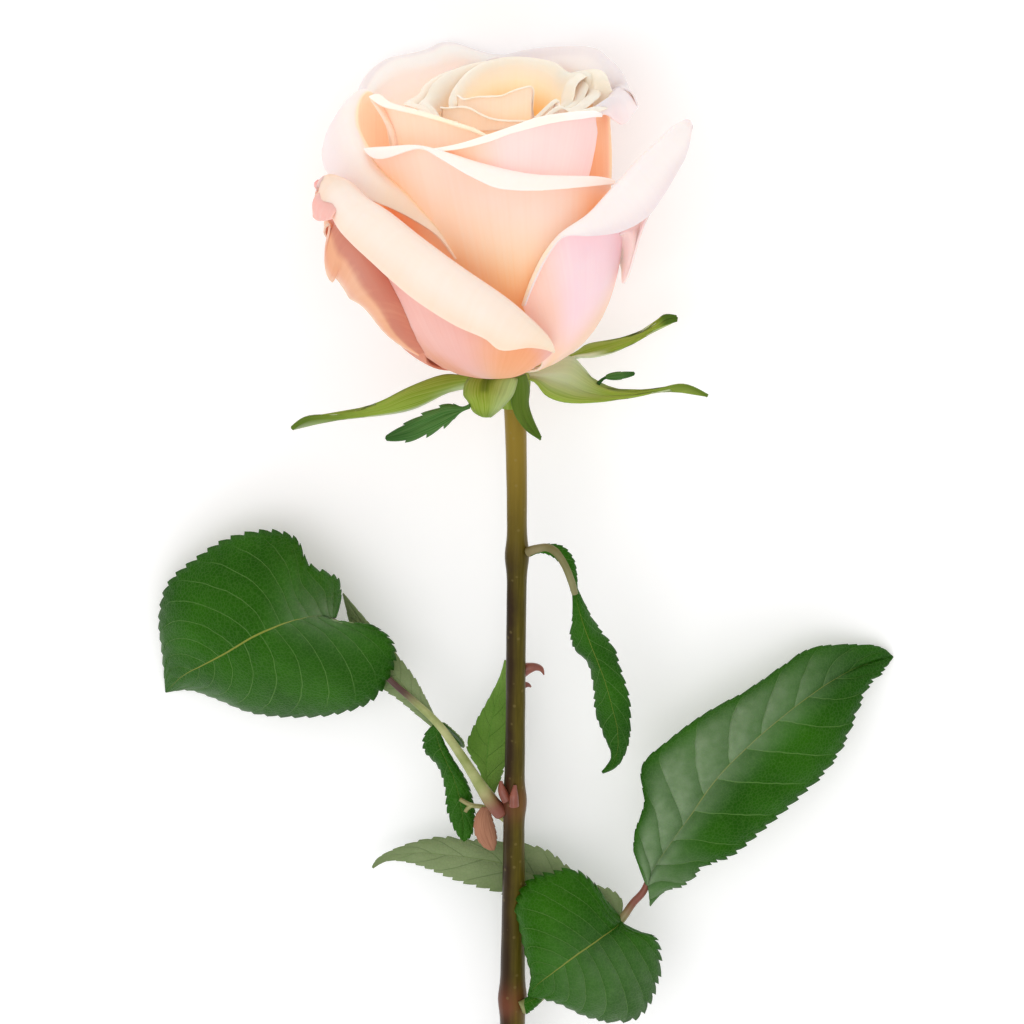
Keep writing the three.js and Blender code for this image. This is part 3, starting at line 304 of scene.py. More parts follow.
def petal_skin(name, base, **colours):
    """Petal skin: satin, with fine ribs about 1 mm apart running up it, and colours blended by painted
    values. It gives off a painted glow in its own colour, a little everywhere and more where painted so,
    standing in for light that comes through the thin petal."""
    made, tree = material(name)
    along = add(tree, "UVMap", {}, uv_map="UVMap")[0]
    where = add(tree, "Mapping", {"Vector": along, "Scale": (60.0, 1.6, 1.0)})[0]
    ribs = add(tree, "TexNoise", {"Vector": where, "Scale": 1.0, "Detail": 3.0})["Fac"]
    body = add(tree, "TexCoord", {})["Object"]
    cloud = add(tree, "TexNoise", {"Vector": body, "Scale": 60.0, "Detail": 2.0})["Fac"]
    uneven = add(tree, "Math", {0: cloud, 1: 0.6, 2: 0.7}, operation="MULTIPLY_ADD")[0]
    ribbed = add(tree, "Math", {0: ribs, 1: 0.3, 2: 0.85}, operation="MULTIPLY_ADD")[0]
    varied = add(tree, "Math", {0: uneven, 1: ribbed}, operation="MULTIPLY")[0]
    colour = linear(base)
    for key, code in colours.items():
        painted = add(tree, "Attribute", {}, attribute_name=key)["Fac"]
        share = add(tree, "Math", {0: varied, 1: painted}, operation="MULTIPLY", use_clamp=True)[0]
        colour = add(tree, "Mix", {0: share, 6: colour, 7: linear(code)}, data_type="RGBA")[2]
    bump = add(tree, "Bump", {"Strength": 0.12, "Distance": 0.4 * MM, "Height": ribs})[0]
    # Painted glow: how strongly the skin gives off light in its own colour, set by a painted value.
    painted_light = add(tree, "Attribute", {}, attribute_name="painted_light")["Fac"]
    through = add(tree, "Math", {0: painted_light, 1: 0.2, 2: 0.035}, operation="MULTIPLY_ADD")[0]
    skin = add(tree, "BsdfPrincipled",
               {"Base Color": colour, "Roughness": 0.6, "Normal": bump, "Specular IOR Level": 0.25,
                "Subsurface Weight": 0.6, "Subsurface Radius": (1.0, 0.8, 0.65),
                "Subsurface Scale": 1.2 * MM, "Sheen Weight": 0.1, "Sheen Roughness": 0.4,
                "Emission Color": colour, "Emission Strength": through})[0]
    add(tree, "OutputMaterial", {"Surface": skin})
    return made


# Outside, the orange glow colour is a painted glow of light through the petal, and the fold colour is painted
# shade in the folds.
petal_outside = petal_skin("petal skin, blushed outside", "#FFF3EA", pink="#FBD3DA", warm="#FFC898",
                           glow="#F8AC68", edge="#E39C8C", fold="#CF7F66")
# Inside, the fold colour is painted shade in the folds, the lilac grey is painted shade along the outer rims,
# and the deep yellow is partly the petal's own colour low down and partly painted shade.
petal_inside = petal_skin("petal skin, cream inside", "#FFF6F0", yellow="#FFEBC6", peach="#F9BF95",
                          deep="#E8B670", edge="#EE9C98", fold="#C27660", lilac="#E6DADD")


def petal(name, layer, crest, margin, turn, spread, tone, start=0.08, wave=0.3, columns=36, seed=0,
          thick=PETAL_THICK, flare=1.25, spring=1.15):
    """A petal that grows up its layer from a turn in degrees to the crest line, and rolls over to the
    margin. A margin of two numbers lies that much below and outside the crest. spread says how soon the
    petal widens, start how far up it begins, flare how low it leaves the layer, and spring how full its
    bends are. tone(s, t, drop) gives its painted colours, with the drop in mm below the crest."""
    layer = Layer(*layer)
    crest = layer.rim(crest)
    if len(margin) == 2:
        margin = [(a, z - margin[0], out + margin[1]) for a, z, out in crest]
    else:
        margin = layer.rim(margin)
    full = 2 * pi * round((crest[0][0] - margin[0][0]) / (2 * pi))
    margin = [(a + full, z, out) for a, z, out in margin]
    if crest[0][0] > crest[-1][0]:
        crest.reverse()
        margin.reverse()
    mid = radians(turn)
    mid += 2 * pi * round((0.5 * (crest[0][0] + crest[-1][0]) - mid) / (2 * pi))
    crest = [(a * MM_PER_RADIAN, z, out) for a, z, out in crest]
    margin = [(a * MM_PER_RADIAN, z, out) for a, z, out in margin]
    columns_done = {}

    def column(s):
        c = line(crest, s)
        m = line(margin, s)
        ends = max(sin(pi * s), 0.0) ** 0.5
        ripple = noise.noise(Vector((s * 8, seed * 7.3, 0))) + 0.3 * noise.noise(Vector((s * 30, seed, 5)))
        ripple *= wave * ends
        m = Vector((m.x, m.y + ripple, m.z + 1.5 * ripple))
        low = max(c.y - flare * c.z, 0.3)
        reach = layer.along(low)

        def body(t):
            return layer.place(mid + (c.x / MM_PER_RADIAN - mid) * t ** spread, layer.rise(reach * t))

        foot = body(1.0)
        top = layer.place(c.x / MM_PER_RADIAN, c.y, c.z)
        edge = layer.place(m.x / MM_PER_RADIAN, m.y, m.z)
        d0 = (foot - body(0.985)).normalized()
        l1, l2 = (top - foot).length, (edge - top).length
        d1 = ((top - foot) * (l2 / (l1 + 1e-9)) + (edge - top) * (l1 / (l2 + 1e-9))).normalized()
        d2 = ((edge - top).normalized() - d1 * 0.25).normalized()
        return body, foot, top, edge, d0, d1, d2, l1, l2

    def standing(s, t):
        key = round(s * 10000)
        if key not in columns_done:
            columns_done[key] = column(s)
        body, foot, top, edge, d0, d1, d2, l1, l2 = columns_done[key]
        if t <= BODY_END:
            p = body(start + (1 - start) * t / BODY_END)
        elif t <= CREST_AT:
            p = bend(foot, top, d0, d1, l1 * spring, (t - BODY_END) / (CREST_AT - BODY_END))
        else:
            p = bend(top, edge, d1, d2, l2 * spring, (t - CREST_AT) / (1 - CREST_AT))
        dent = 0.35 * wave * noise.noise(Vector((s * 5 + seed, t * 4, seed * 3.1)))
        return p + Vector((p.x, p.y, 0)).normalized() * dent, top.z - p.z

    def paint(s, t):
        painted = dict.fromkeys(PETAL_PAINTS, 0.0)
        painted.update(tone(s, t, standing(s, t)[1]))
        # The painted orange glow and the deep yellow also raise how strongly the skin gives off its painted
        # glow.
        painted["painted_light"] += 0.6 * (painted["glow"] + painted["deep"])
        return painted

    piece = sheet(name, columns, PETAL_ROWS, lambda s, t: lean(standing(s, t)[0]), paint)
    thicken(piece, thick)
    soft = piece.modifiers.new("soft rim", "BEVEL")
    soft.width = 0.3 * thick * MM
    soft.segments = 2
    soft.angle_limit = radians(60)
    grown(piece, "bloom", "petals", petal_outside, petal_inside)


def hump(x, low, high, soft):
    """1 between low and high, falling to 0 over soft on both sides."""
    return smooth(low - soft, low, x) * smooth(high + soft, high, x)


# In each petal's tone, its orange glow, its fold and lilac shades and its glow's strength are painted light
# and shade, placed where its folds, crests and outer rims fall.
petal("petal_front_left", (29, 31, 54, 0, -6),
      [(320, 181, 4.4), (325, 176.5, 3.4), (330, 178, 3.8), (337, 176.5, 2.8), (343, 181, 3.4),
       (356, 195, 4), (378, 210, 4.5), (411, 236, 4.5), (451, 265, 4.5), (483, 287, 4.5), (516, 311, 4),
       (539, 333, 3), (554, 351, 1.5)],
      [(315, 186, 4.6), (318, 191, 5.8), (316, 196, 5.2), (322, 202, 6.6), (328, 208, 6.4), (341, 231, 8),
       (371, 261, 8.5), (420, 303, 8.5), (455, 325, 8), (484, 338, 7.4), (500, 349.5, 6), (530, 347, 4.4),
       (554, 353, 2.5)],
      -25, 0.62,
      lambda s, t, drop: dict(pink=1.0,
                              warm=0.2 + 0.7 * smooth(0.5, 0.8, s) * smooth(2, 8, drop)
                              + 0.7 * smooth(34, 48, drop),
                              glow=0.1 + 0.6 * smooth(0.6, 0.85, s) * smooth(1, 6, drop),
                              yellow=0.1 + 0.45 * smooth(0.7, 1.0, s),
                              peach=0.25 + 0.8 * smooth(0.3, 0.03, s) + 0.2 * smooth(0.85, 1.0, t),
                              edge=0.9 * smooth(0.16, 0.0, s)
                              + 0.25 * smooth(0.6, 0.0, s) * smooth(0.96, 1.0, t) + 0.06,
                              fold=(0.4 + 0.3 * smooth(34, 46, drop)) * smooth(0.7, 0.55, t)),
      columns=64, seed=1)
petal("petal_front_left_flap", (29, 31, 54, 0, -6),
      [(319, 193, 6), (325, 202, 6.5), (334, 214, 7.4)],
      [(313.5, 217, 7.4), (319, 221, 7.8), (331, 219, 8.2)],
      -60, 0.9, lambda s, t, drop: dict(pink=0.9, warm=0.7, yellow=0.1, peach=0.4, edge=0.7),
      start=0.9, columns=16, seed=2)
petal("petal_right", (27.8, 29.4, 52),
      [(523, 304, 0.6), (533, 277, 1), (546, 252, 1.4), (561, 234, 1.8), (590, 214, 3), (610, 193, 4),
       (630, 173, 6.4), (650, 153, 8.8), (670, 137, 12.2), (683, 126, 14.2), (690.5, 121, 15.3)],
      [(525, 306, 1.2), (536, 279, 1.8), (549, 254, 2.2), (564, 237, 2.6), (590, 236, 4.5), (622, 231, 6.5),
       (648, 216, 9), (662, 197, 11), (677, 172, 13.2), (684, 160, 14.2), (689, 145, 15.2),
       (692.5, 126, 15.9)],
      50, 0.6,
      lambda s, t, drop: dict(pink=1.0,
                              warm=0.6 * smooth(26, 40, drop + 10 * (1 - s)) + 0.4 * smooth(0.4, 0.15, s),
                              glow=0.1 * smooth(0.4, 0.1, s), yellow=0.8 * smooth(0.35, 0.2, s) + 0.03,
                              edge=0.08 * smooth(0.9, 1.0, t) + 0.2 * smooth(0.93, 1.0, s),
                              lilac=0.25 + 0.6 * smooth(0.84, 1.0, t), painted_light=0.25 * smooth(0.7, 0.6, t)),
      columns=56, seed=3, spring=0.5)
petal("petal_front_middle", (26, 26, 50),
      [(365, 149, 1), (386, 147.6, 1.5), (420, 146.5, 1.3), (444, 153, 1.9), (480, 164, 2.5),
       (509, 171, 2.5), (539, 175.7, 2.5), (568, 177, 2), (595, 178, 1.5), (613, 182, 1)],
      [(365, 150.5, 1.6), (379, 159, 3), (421, 148.5, 2.0), (441, 159, 3.4), (472, 177, 5), (497, 188, 5),
       (524, 190.6, 5), (553, 189.6, 4.5), (585, 187, 3), (614, 184, 2)],
      5, 0.6,
      lambda s, t, drop: dict(pink=0.5 * smooth(26, 6, drop), warm=0.4 + 0.6 * smooth(6, 30, drop),
                              glow=0.95 * smooth(0.24, 0.0, s) * smooth(0, 12, drop)
                              + 1.0 * smooth(0.74, 0.95, s) * smooth(0, 6, drop)
                              + 0.75 * smooth(20, 38, drop), painted_light=0.25, yellow=0.15,
                              edge=0.06 * smooth(0.7, 0.72, t)),
      start=0.3, columns=52, seed=4)
petal("petal_left_band", (26.4, 24.4, 60),
      [("far", 400, 147, -0.3), ("far", 391, 122, -0.2), ("far", 380, 104, 0), ("far", 369, 92, 0.1),
       ("turn", -98, 60.5, 0.2), ("turn", -85, 58.5, 0.6), ("turn", -68, 56, 0.8), (381, 173, 2.2),
       (400, 191, 2.5), (421, 213, 2), (441, 236, 1.5), (455, 258, 1)],
      [("far", 401, 147, 0.1), ("far", 392, 121, 0.4), ("far", 381, 103, 1.0), ("turn", -118, 56.5, 3.6),
       ("turn", -104, 56, 6.6), ("turn", -88, 52.5, 7.6), ("turn", -70, 50, 8.2), (368, 199, 7.5),
       (393, 209, 6), (412, 219, 4.5), (436, 235, 2.5), (456, 259, 1.5)],
      -75, 0.6,
      lambda s, t, drop: dict(pink=0.2, warm=0.9, glow=0.4 * smooth(1, 5, drop),
                              fold=0.35 * smooth(0.5, 0.4, t),
                              yellow=0.05 + 0.35 * smooth(0.5, 0.8, s) + 0.8 * smooth(0.72, 0.66, t),
                              peach=0.05 + 0.3 * smooth(0.5, 0.8, s) + 0.2 * smooth(0.7, 0.5, t),
                              edge=0.08 * smooth(0.6, 0.9, t) * smooth(0.7, 0.5, s),
                              deep=0.1 * smooth(0.6, 0.4, t),
                              lilac=0.65 * smooth(0.74, 0.95, t) * smooth(0.75, 0.5, s),
                              painted_light=0.5 * smooth(0.72, 0.6, t) + 1.2 * smooth(0.5, 0.4, t)),
      start=0.3, columns=56, seed=5)
petal("petal_low_left", (29.4, 30.4, 50),
      [("turn", -168, 34, 2), ("turn", -140, 35, 2), ("turn", -104, 34, 2), (358, 226, 2), (375, 252, 2),
       (388, 277, 2), (399, 303, 2), (409, 332, 1.5), (421, 353, 0.7)],
      [("turn", -168, 30, 3), ("turn", -140, 28, 4), ("turn", -112, 28, 4.5), (331, 226, 5), (325, 255, 6),
       (326, 283, 6), (335, 278, 5), (346, 293, 4), (364, 307, 3.4), (389, 336, 2.2), (419, 355, 1.2)],
      -105, 0.8,
      lambda s, t, drop: dict(pink=0.4, warm=0.9, glow=0.5, yellow=0.3 + 0.4 * smooth(0.95, 0.99, t),
                              peach=0.9 * smooth(1.0, 0.95, t) + 0.1, deep=0.2 * smooth(0.98, 0.9, t),
                              fold=0.42 + 0.6 * smooth(0.9, 0.84, t),
                              edge=0.3 * hump(s, 0.42, 0.52, 0.05) * smooth(0.92, 1.0, t)),
      columns=48, seed=6)
petal("petal_low_right", (25.4, 27.2, 52),
      [("turn", 60, 22, 0.4), ("turn", 74, 28, 1), (624, 232, 3.4), ("turn", 104, 31, 4.2),
       ("turn", 135, 30, 3), ("turn", 168, 28, 3)],
      [("turn", 62, 20, 0.6), (620, 262, 2), (623.5, 284, 4.6), (645, 222, 8), ("turn", 130, 25, 6),
       ("turn", 168, 23, 5)],
      110, 0.6, lambda s, t, drop: dict(pink=0.4, warm=0.6, yellow=0.3, peach=0.15 * smooth(1.0, 0.7, t),
                                        lilac=0.5, fold=0.12, edge=0.05),
      columns=44, seed=7)
petal("petal_under", (30.6, 30, 52),
      [("turn", 140, 34, 1.5), ("turn", 155, 44, 2.5), ("turn", 180, 48, 2.5), ("turn", 205, 46, 2.5),
       ("turn", 226, 34, 1.5)],
      [("turn", 140, 32, 3), ("turn", 155, 38, 4.5), ("turn", 180, 40, 4.5), ("turn", 205, 39, 4.5),
       ("turn", 226, 31, 3)],
      180, 0.75, lambda s, t, drop: dict(pink=0.8, warm=0.5 * smooth(20, 45, drop), yellow=0.4),
      start=0.2, seed=8)
petal("petal_far_left", (24.6, 28.4, 60),
      [("turn", -112, 56, 0), ("far", 366, 90, 1), ("far", 377, 72.5, 2), ("far", 393, 60.5, 2.4),
       ("far", 412, 56.5, 2.4), ("far", 432, 51.5, 2.4), ("far", 444, 45.5, 2.4), ("far", 458, 45.5, 2.4),
       ("far", 473, 50.5, 2.4), ("far", 492, 56, 2.2), ("far", 512, 58, 1.6), ("far", 530, 63, 1)],
      [("turn", -112, 55, 0.5), ("turn", -122, 55, 3), ("turn", -129, 55, 6), ("turn", -136, 56, 7),
       ("turn", -143, 56, 7), ("turn", -151, 56, 7), ("turn", -158, 57, 7), ("turn", -164, 57, 7),
       ("turn", -172, 56, 7), ("turn", -181, 54, 6), ("turn", -191, 53, 4), ("turn", -200, 54, 2)],
      -150, 0.6,
      lambda s, t, drop: dict(pink=0.5, warm=0.3,
                              yellow=0.1 + 0.2 * smooth(5, 16, drop) * smooth(0.75, 0.65, t),
                              deep=0.1 * smooth(18, 32, drop), lilac=0.6 * smooth(0.66, 0.72, t),
                              painted_light=0.75 * smooth(0, 6, drop) * smooth(0.75, 0.65, t)),
      start=0.4, columns=48, seed=9)
petal("petal_far_right", (25, 27, 60),
      [("far", 505, 66, 0.5), ("far", 530, 59, 2), ("far", 548, 54.5, 3), ("far", 566, 52.5, 3),
       ("far", 594, 55, 3), ("far", 604, 62.5, 3.2), ("far", 612, 69, 3.6), ("far", 618, 76, 4.2),
       ("far", 623, 85, 5), ("turn", 100, 56, 5)],
      [("turn", 192, 56, 2), ("turn", 177, 55, 6), ("turn", 162, 55, 7), ("turn", 149, 55, 7),
       ("turn", 132, 55, 7), ("turn", 122, 54, 7), ("turn", 108, 53.4, 7), ("turn", 95, 53, 6.6)],
      145, 0.6,
      lambda s, t, drop: dict(pink=0.5, warm=0.3,
                              yellow=0.06 + 0.5 * smooth(2, 10, drop) * smooth(0.75, 0.65, t),
                              deep=0.2 * smooth(14, 28, drop), lilac=0.35 + 0.3 * smooth(0.6, 0.72, t),
                              painted_light=0.3 * smooth(0, 8, drop) * smooth(0.75, 0.65, t)),
      start=0.4, columns=44, seed=10)
petal("petal_right_flap", (22, 22, 60, 6.2, 4.8),
      [("turn", 36, 52, 0), ("turn", 50, 56, 0.1), ("turn", 62, 57, 0.4), ("turn", 75, 57, 1.2),
       ("turn", 90, 56, 2.8), ("turn", 106, 54, 3), ("turn", 122, 49, 2)],
      [("turn", 36, 51.6, 0.3), ("turn", 50, 55.4, 0.6), (606, 115.5, 1.6), (614, 119.5, 2.6),
       (622, 124.5, 3.8), ("turn", 84, 52.4, 5), ("turn", 96, 51.8, 5.6), ("turn", 108, 50, 5),
       ("turn", 122, 47, 4)],
      92, 0.6,
      lambda s, t, drop: dict(pink=0.0, warm=0.8 * smooth(0, 3, drop),
                              glow=0.45 * smooth(0.6, 0.3, s) * smooth(0, 5, drop) + 0.1,
                              fold=0.4 * smooth(0.52, 0.4, s) * smooth(0, 4, drop),
                              yellow=0.06 + 0.2 * smooth(0.6, 0.8, s), lilac=0.8,
                              painted_light=0.4 * smooth(0, 3, drop)),
      start=0.4, columns=52, seed=11, flare=5.2)
petal("petal_front_second", (24.4, 25.4, 60),
      [(428, 150, 0.5), (456, 145.6, 1), (488, 135.6, 1), (510, 128, 1), (539, 118, 1), (568, 113.3, 1),
       (590, 112, 1), (601, 113, 0.8)],
      [(428, 151, 1), (456, 149.5, 1.6), (488, 142, 1.8), (510, 134, 2), (539, 126, 2), (568, 120.6, 1.9),
       (588, 118, 1.7), (601, 117, 1.3)],
      10, 1.9,
      lambda s, t, drop: dict(pink=0.8, warm=0.15 + 0.5 * smooth(0.4, 0.1, s) + 0.4 * smooth(10, 24, drop),
                              glow=0.2 * smooth(0.3, 0.0, s), yellow=0.3 * smooth(0.8, 0.6, s), painted_light=0.4),
      start=0.4, columns=56, seed=12)
petal("petal_inner_left", (18.6, 20, 60, -1.5, 3.5),
      [("turn", -82, 44, 0.6), (394, 146, 0.8), (390, 130, 1.2), (380, 112, 1.8), (371, 98, 2.4),
       (374, 96, 2.6), (384, 103, 2.4), (395, 107, 2.2), (417, 112.6, 2), (440, 119, 1.8), (462, 126, 1.6),
       (475, 130.5, 1.2), (487, 136, 0.6)],
      [("turn", -82, 44, 0.5), (393, 146.4, 0.6), (389, 130.4, 1), (379, 112.4, 1.6), (369.6, 97.6, 2.6),
       (371.4, 99, 3.2), (383, 106.4, 3), (395, 109.6, 2.6), (417, 115, 2.4), (440, 121.4, 2.2),
       (462, 128.4, 2), (475, 132.6, 1.6), (487, 138, 1)],
      -45, 0.6,
      lambda s, t, drop: dict(pink=0.3 * smooth(14, 4, drop), warm=0.4 + 0.4 * smooth(4, 16, drop),
                              glow=0.35 * smooth(8, 22, drop), yellow=0.3 + 0.4 * smooth(0.5, 0.8, s),
                              peach=0.35 * smooth(0.4, 0.2, s), painted_light=0.35),
      start=0.6, columns=60, seed=13)

# The heart: the innermost petals stay wound round each other, thinner and yellower, with only their rims
# out. Nested lips face the right side, crescents the left, and short petals close the heart in front.
# Each has its name, layer, turn, crest line, and how far its margin rolls down and out.
HEART_LIPS = [
    ("right_outer", (19.6, 20, 60, 4.5, 2), 75,
     [("turn", 30, 54, 0.2), ("turn", 50, 57.5, 1.5), (590, 110.5, 3), (603, 107, 3.6), (612, 99, 3.8),
      (615, 87, 3.4), ("far", 612, 76, 2.6), ("turn", 140, 57, 0.6)], (0.5, 0.6)),
    ("right_middle", (16.6, 17, 60, 5, 3), 70,
     [("turn", 20, 55, 0.2), ("turn", 45, 58.5, 1), (568, 110.5, 2.6), (581, 107, 3.2), (591, 99.5, 3.6),
      (597, 88, 3.4), ("far", 592, 76, 2.6), ("turn", 132, 58, 0.6)], (0.5, 0.6)),
    ("right_inner", (14, 14.4, 61, 6.6, 4.2), 70,
     [("turn", 20, 56, 0.2), ("turn", 45, 59, 0.6), (558, 112, 1.8), (569, 108, 2.2), (578, 102, 2.4),
      (584, 90, 2.4), ("far", 579, 77, 1.8), ("turn", 132, 59, 0.6)], (0.5, 0.6)),
    ("left_outer", (17, 17.4, 60, 5.5, 4), -110,
     [("turn", -48, 57, 0.2), (430, 115, 1.4), (418, 107, 2.2), ("far", 419, 95, 2.4), ("far", 427, 84, 2.4),
      ("far", 441, 75, 2), ("far", 460, 69, 1.2)], (0.3, 0.4)),
    ("left_crescent", (14, 14.6, 61, 6, 4.5), -110,
     [("turn", -40, 57, 0.2), (437, 118, 1.4), (428, 108, 2.2), ("far", 428, 96, 2.6),
      ("far", 434, 85, 2.6), ("far", 445, 75, 2.4), ("far", 460, 68, 2), ("far", 474, 64, 1.2),
      ("turn", -180, 61.6, 0.3)], (0.5, 0.6)),
    ("back_wall", (11.4, 11.8, 62, 8.5, 5), 180,
     [("turn", -60, 54, 0.2), (451, 108, 1), ("far", 452, 97, 1.5), ("far", 459, 83, 1.6),
      ("far", 470, 71, 1.6), ("far", 484, 63, 1.4), ("far", 510, 57.5, 1.4), ("far", 536, 59, 1.6),
      ("far", 556, 64, 2), ("far", 568, 73, 2.4), (573, 84, 2.6), (571, 97, 2.4), (565, 107, 2),
      ("turn", 50, 57, 1), ("turn", 30, 55, 0.2)], (0.5, 0.6)),
    ("closer_low", (13.6, 14, 60, 7.4, 4.4), -30,
     [("turn", -98, 54, 0.1), ("turn", -84, 57, 0.3), (440, 108, 0.4), (450, 108, 0.5), (463, 107, 0.5),
      (472, 109.4, 0.5), (480, 114, 0.5), (489, 118, 0.5), (501, 120.4, 0.5), (518, 121, 0.4),
      (535, 121, 0.3)],
     (0.12, 0.2)),
    ("closer_high", (11, 11.4, 61.5, 8.3, 5.6), -10,
     [("turn", -96, 55, 0.1), (455.5, 98, 0.2), (466, 99.4, 0.3), (477, 97, 0.3), (489, 96.6, 0.4),
      (502, 95.6, 0.4), (512, 91.4, 0.4), (521, 88.6, 0.4), (532, 87, 0.2), (533.6, 92, 0.1),
      (532, 102, 0.0), (532.6, 112, 0), (535, 124, -0.3)], (0.12, 0.15)),
]
# Each lip's deep yellow-orange grows with its drop below the crest: it is partly the petal's own colour low
# down and partly painted shade, and it adds to the painted glow.
for i, (name, layer, turn, crest, roll) in enumerate(HEART_LIPS):
    petal("heart_" + name, layer, crest, roll, turn, 0.5,
          lambda s, t, drop: dict(pink=0.1, warm=(0.4 if turn < 0 else 0.15) + 0.3 * smooth(2, 10, drop),
                                  yellow=0.5 + 0.3 * smooth(1, 6, drop), painted_light=0.5 * smooth(0, 5, drop),
                                  deep=(1.0 if turn in (180, -10) else 0.8) * smooth(4, 11, drop)),
          start=0.7, wave=0.14, columns=44, seed=20 + i, thick=0.32)

# The packed bases of the petals inside the heart fill its middle: radius, height, and drift across and back.
HEART_ROWS = [(2.6, 0.6, 0, 0), (9, 2.4, 0, 0), (14, 4.8, 0, 0), (19, 9.6, 0, 0), (22.4, 17, 0, 0),
              (23, 25, 0, 0), (21.4, 35, 1, 0.5), (19.6, 43, 3, 2), (18, 50, 4.5, 3), (16, 54.4, 6, 4),
              (13, 55.2, 7.6, 5), (11.6, 51, 8, 5.6), (5, 49.6, 8, 5.8), (0.4, 49.4, 8, 6)]


def heart_place(s, t):
    r, z, x, y = line(HEART_ROWS, t)
    return lean(Vector((r * cos(2 * pi * s) + x, r * sin(2 * pi * s) + y, z)))


# The packed bases grow warmer lower down and take a painted orange glow there.
def heart_paint(s, t):
    return dict(pink=0.2, warm=0.75 - 0.55 * smooth(0.6, 1.0, t), glow=0.3 * smooth(0.9, 0.4, t))


heart_skin = petal_skin("packed petal bases", "#FBE3B8", pink="#F6D0C4", warm="#F4B183", glow="#E99A5C")
heart = sheet("heart_packed_bases", 64, 40, heart_place, heart_paint, shut=True)
grown(heart, "bloom", "petals", heart_skin)

# The hip and its five sepals: a small green cup under the petals, with leafy sepals folded back from
# its rim. They are soft green outside with fine ribs, and pale felt inside.
HIP_ROWS = [(2.4, -8.0), (2.7, -7.0), (3.4, -5.8), (4.1, -4.2), (4.35, -2.6), (4.2, -1.4), (3.6, -0.3)]
# Side veins bow forward by this power of the way out from the midrib.
VEIN_BOW = 1.1


def tube(name, points, radii, sides=14, rings=40, paint=None, swell=None):
    """A round stalk along a smooth line, with a radius at each of its points."""
    points = [Vector(p) for p in points]
    widths = [Vector((r, 0, 0)) for r in radii]

    def place(s, t):
        here = line(points, t)
        way = (line(points, min(t + 0.01, 1.0)) - line(points, max(t - 0.01, 0.0))).normalized()
        side = way.cross(TOWARD_VIEW).normalized()
        front = side.cross(way)
        share = t * (len(widths) - 1)
        i = min(int(share), len(widths) - 2)
        r = widths[i].lerp(widths[i + 1], share - i).x
        r += swell(s, t) if swell else 0.0
        return here + side * (r * cos(2 * pi * s)) + front * (r * sin(2 * pi * s))

    return sheet(name, sides, rings, place, paint, shut=True)


def blade(name, left, mid, right, teeth=10, cut=0.8, bulge=0.1, veins=8, relief=0.0, columns=16, per=4,
          thick=0.4, paint=None, left_cut=1.0, sweep=0.16):
    """A leaf blade through three lines of plan squares with depths, with saw teeth cut forward into its
    edges and the skin puffed up between its side veins. Its first face is the one toward the view. bulge is
    how full each half is and sweep how far forward the side veins run, both as a share."""
    left, mid, right = ([at(*p) for p in edge] for edge in (left, mid, right))

    def place(s, t):
        side = 2 * s - 1
        k = abs(side)
        phase = (t * teeth) % 1.0
        edge = left if side < 0 else right
        m = line(mid, t)
        tip = min(1.0, t + 0.3 * phase / teeth * smooth(0.85, 1.0, k))
        e = line(edge, tip)
        wide = (e - m).length
        p = m.lerp(e, k) + TOWARD_VIEW * (bulge * 4 * k * (1 - k) * wide)
        saw = cut * (phase ** 0.8 - 0.6) * smooth(0.8, 1.0, k) * min(1.0, wide / 4) * smooth(0.02, 0.16, t)
        saw *= left_cut if side < 0 else 1.0
        p += (e - m).normalized() * (saw * smooth(1.0, 0.93, t)) if wide > 0.01 else Vector((0, 0, 0))
        row = t * veins + (0.5 if side < 0 else 0.0) - sweep * veins * k ** VEIN_BOW
        puff = 1 - (2 * abs(row % 1.0 - 0.5)) ** 3
        puff *= smooth(0.0, 0.15, k) * smooth(1.0, 0.8, k) * min(1, wide / 6)
        return p + TOWARD_VIEW * (relief * puff)

    piece = sheet(name, columns, teeth * per, place, paint)
    if sum(f.normal.dot(VIEW) * f.area for f in piece.data.polygons) < 0:
        piece.data.flip_normals()
    thicken(piece, thick)
    return piece


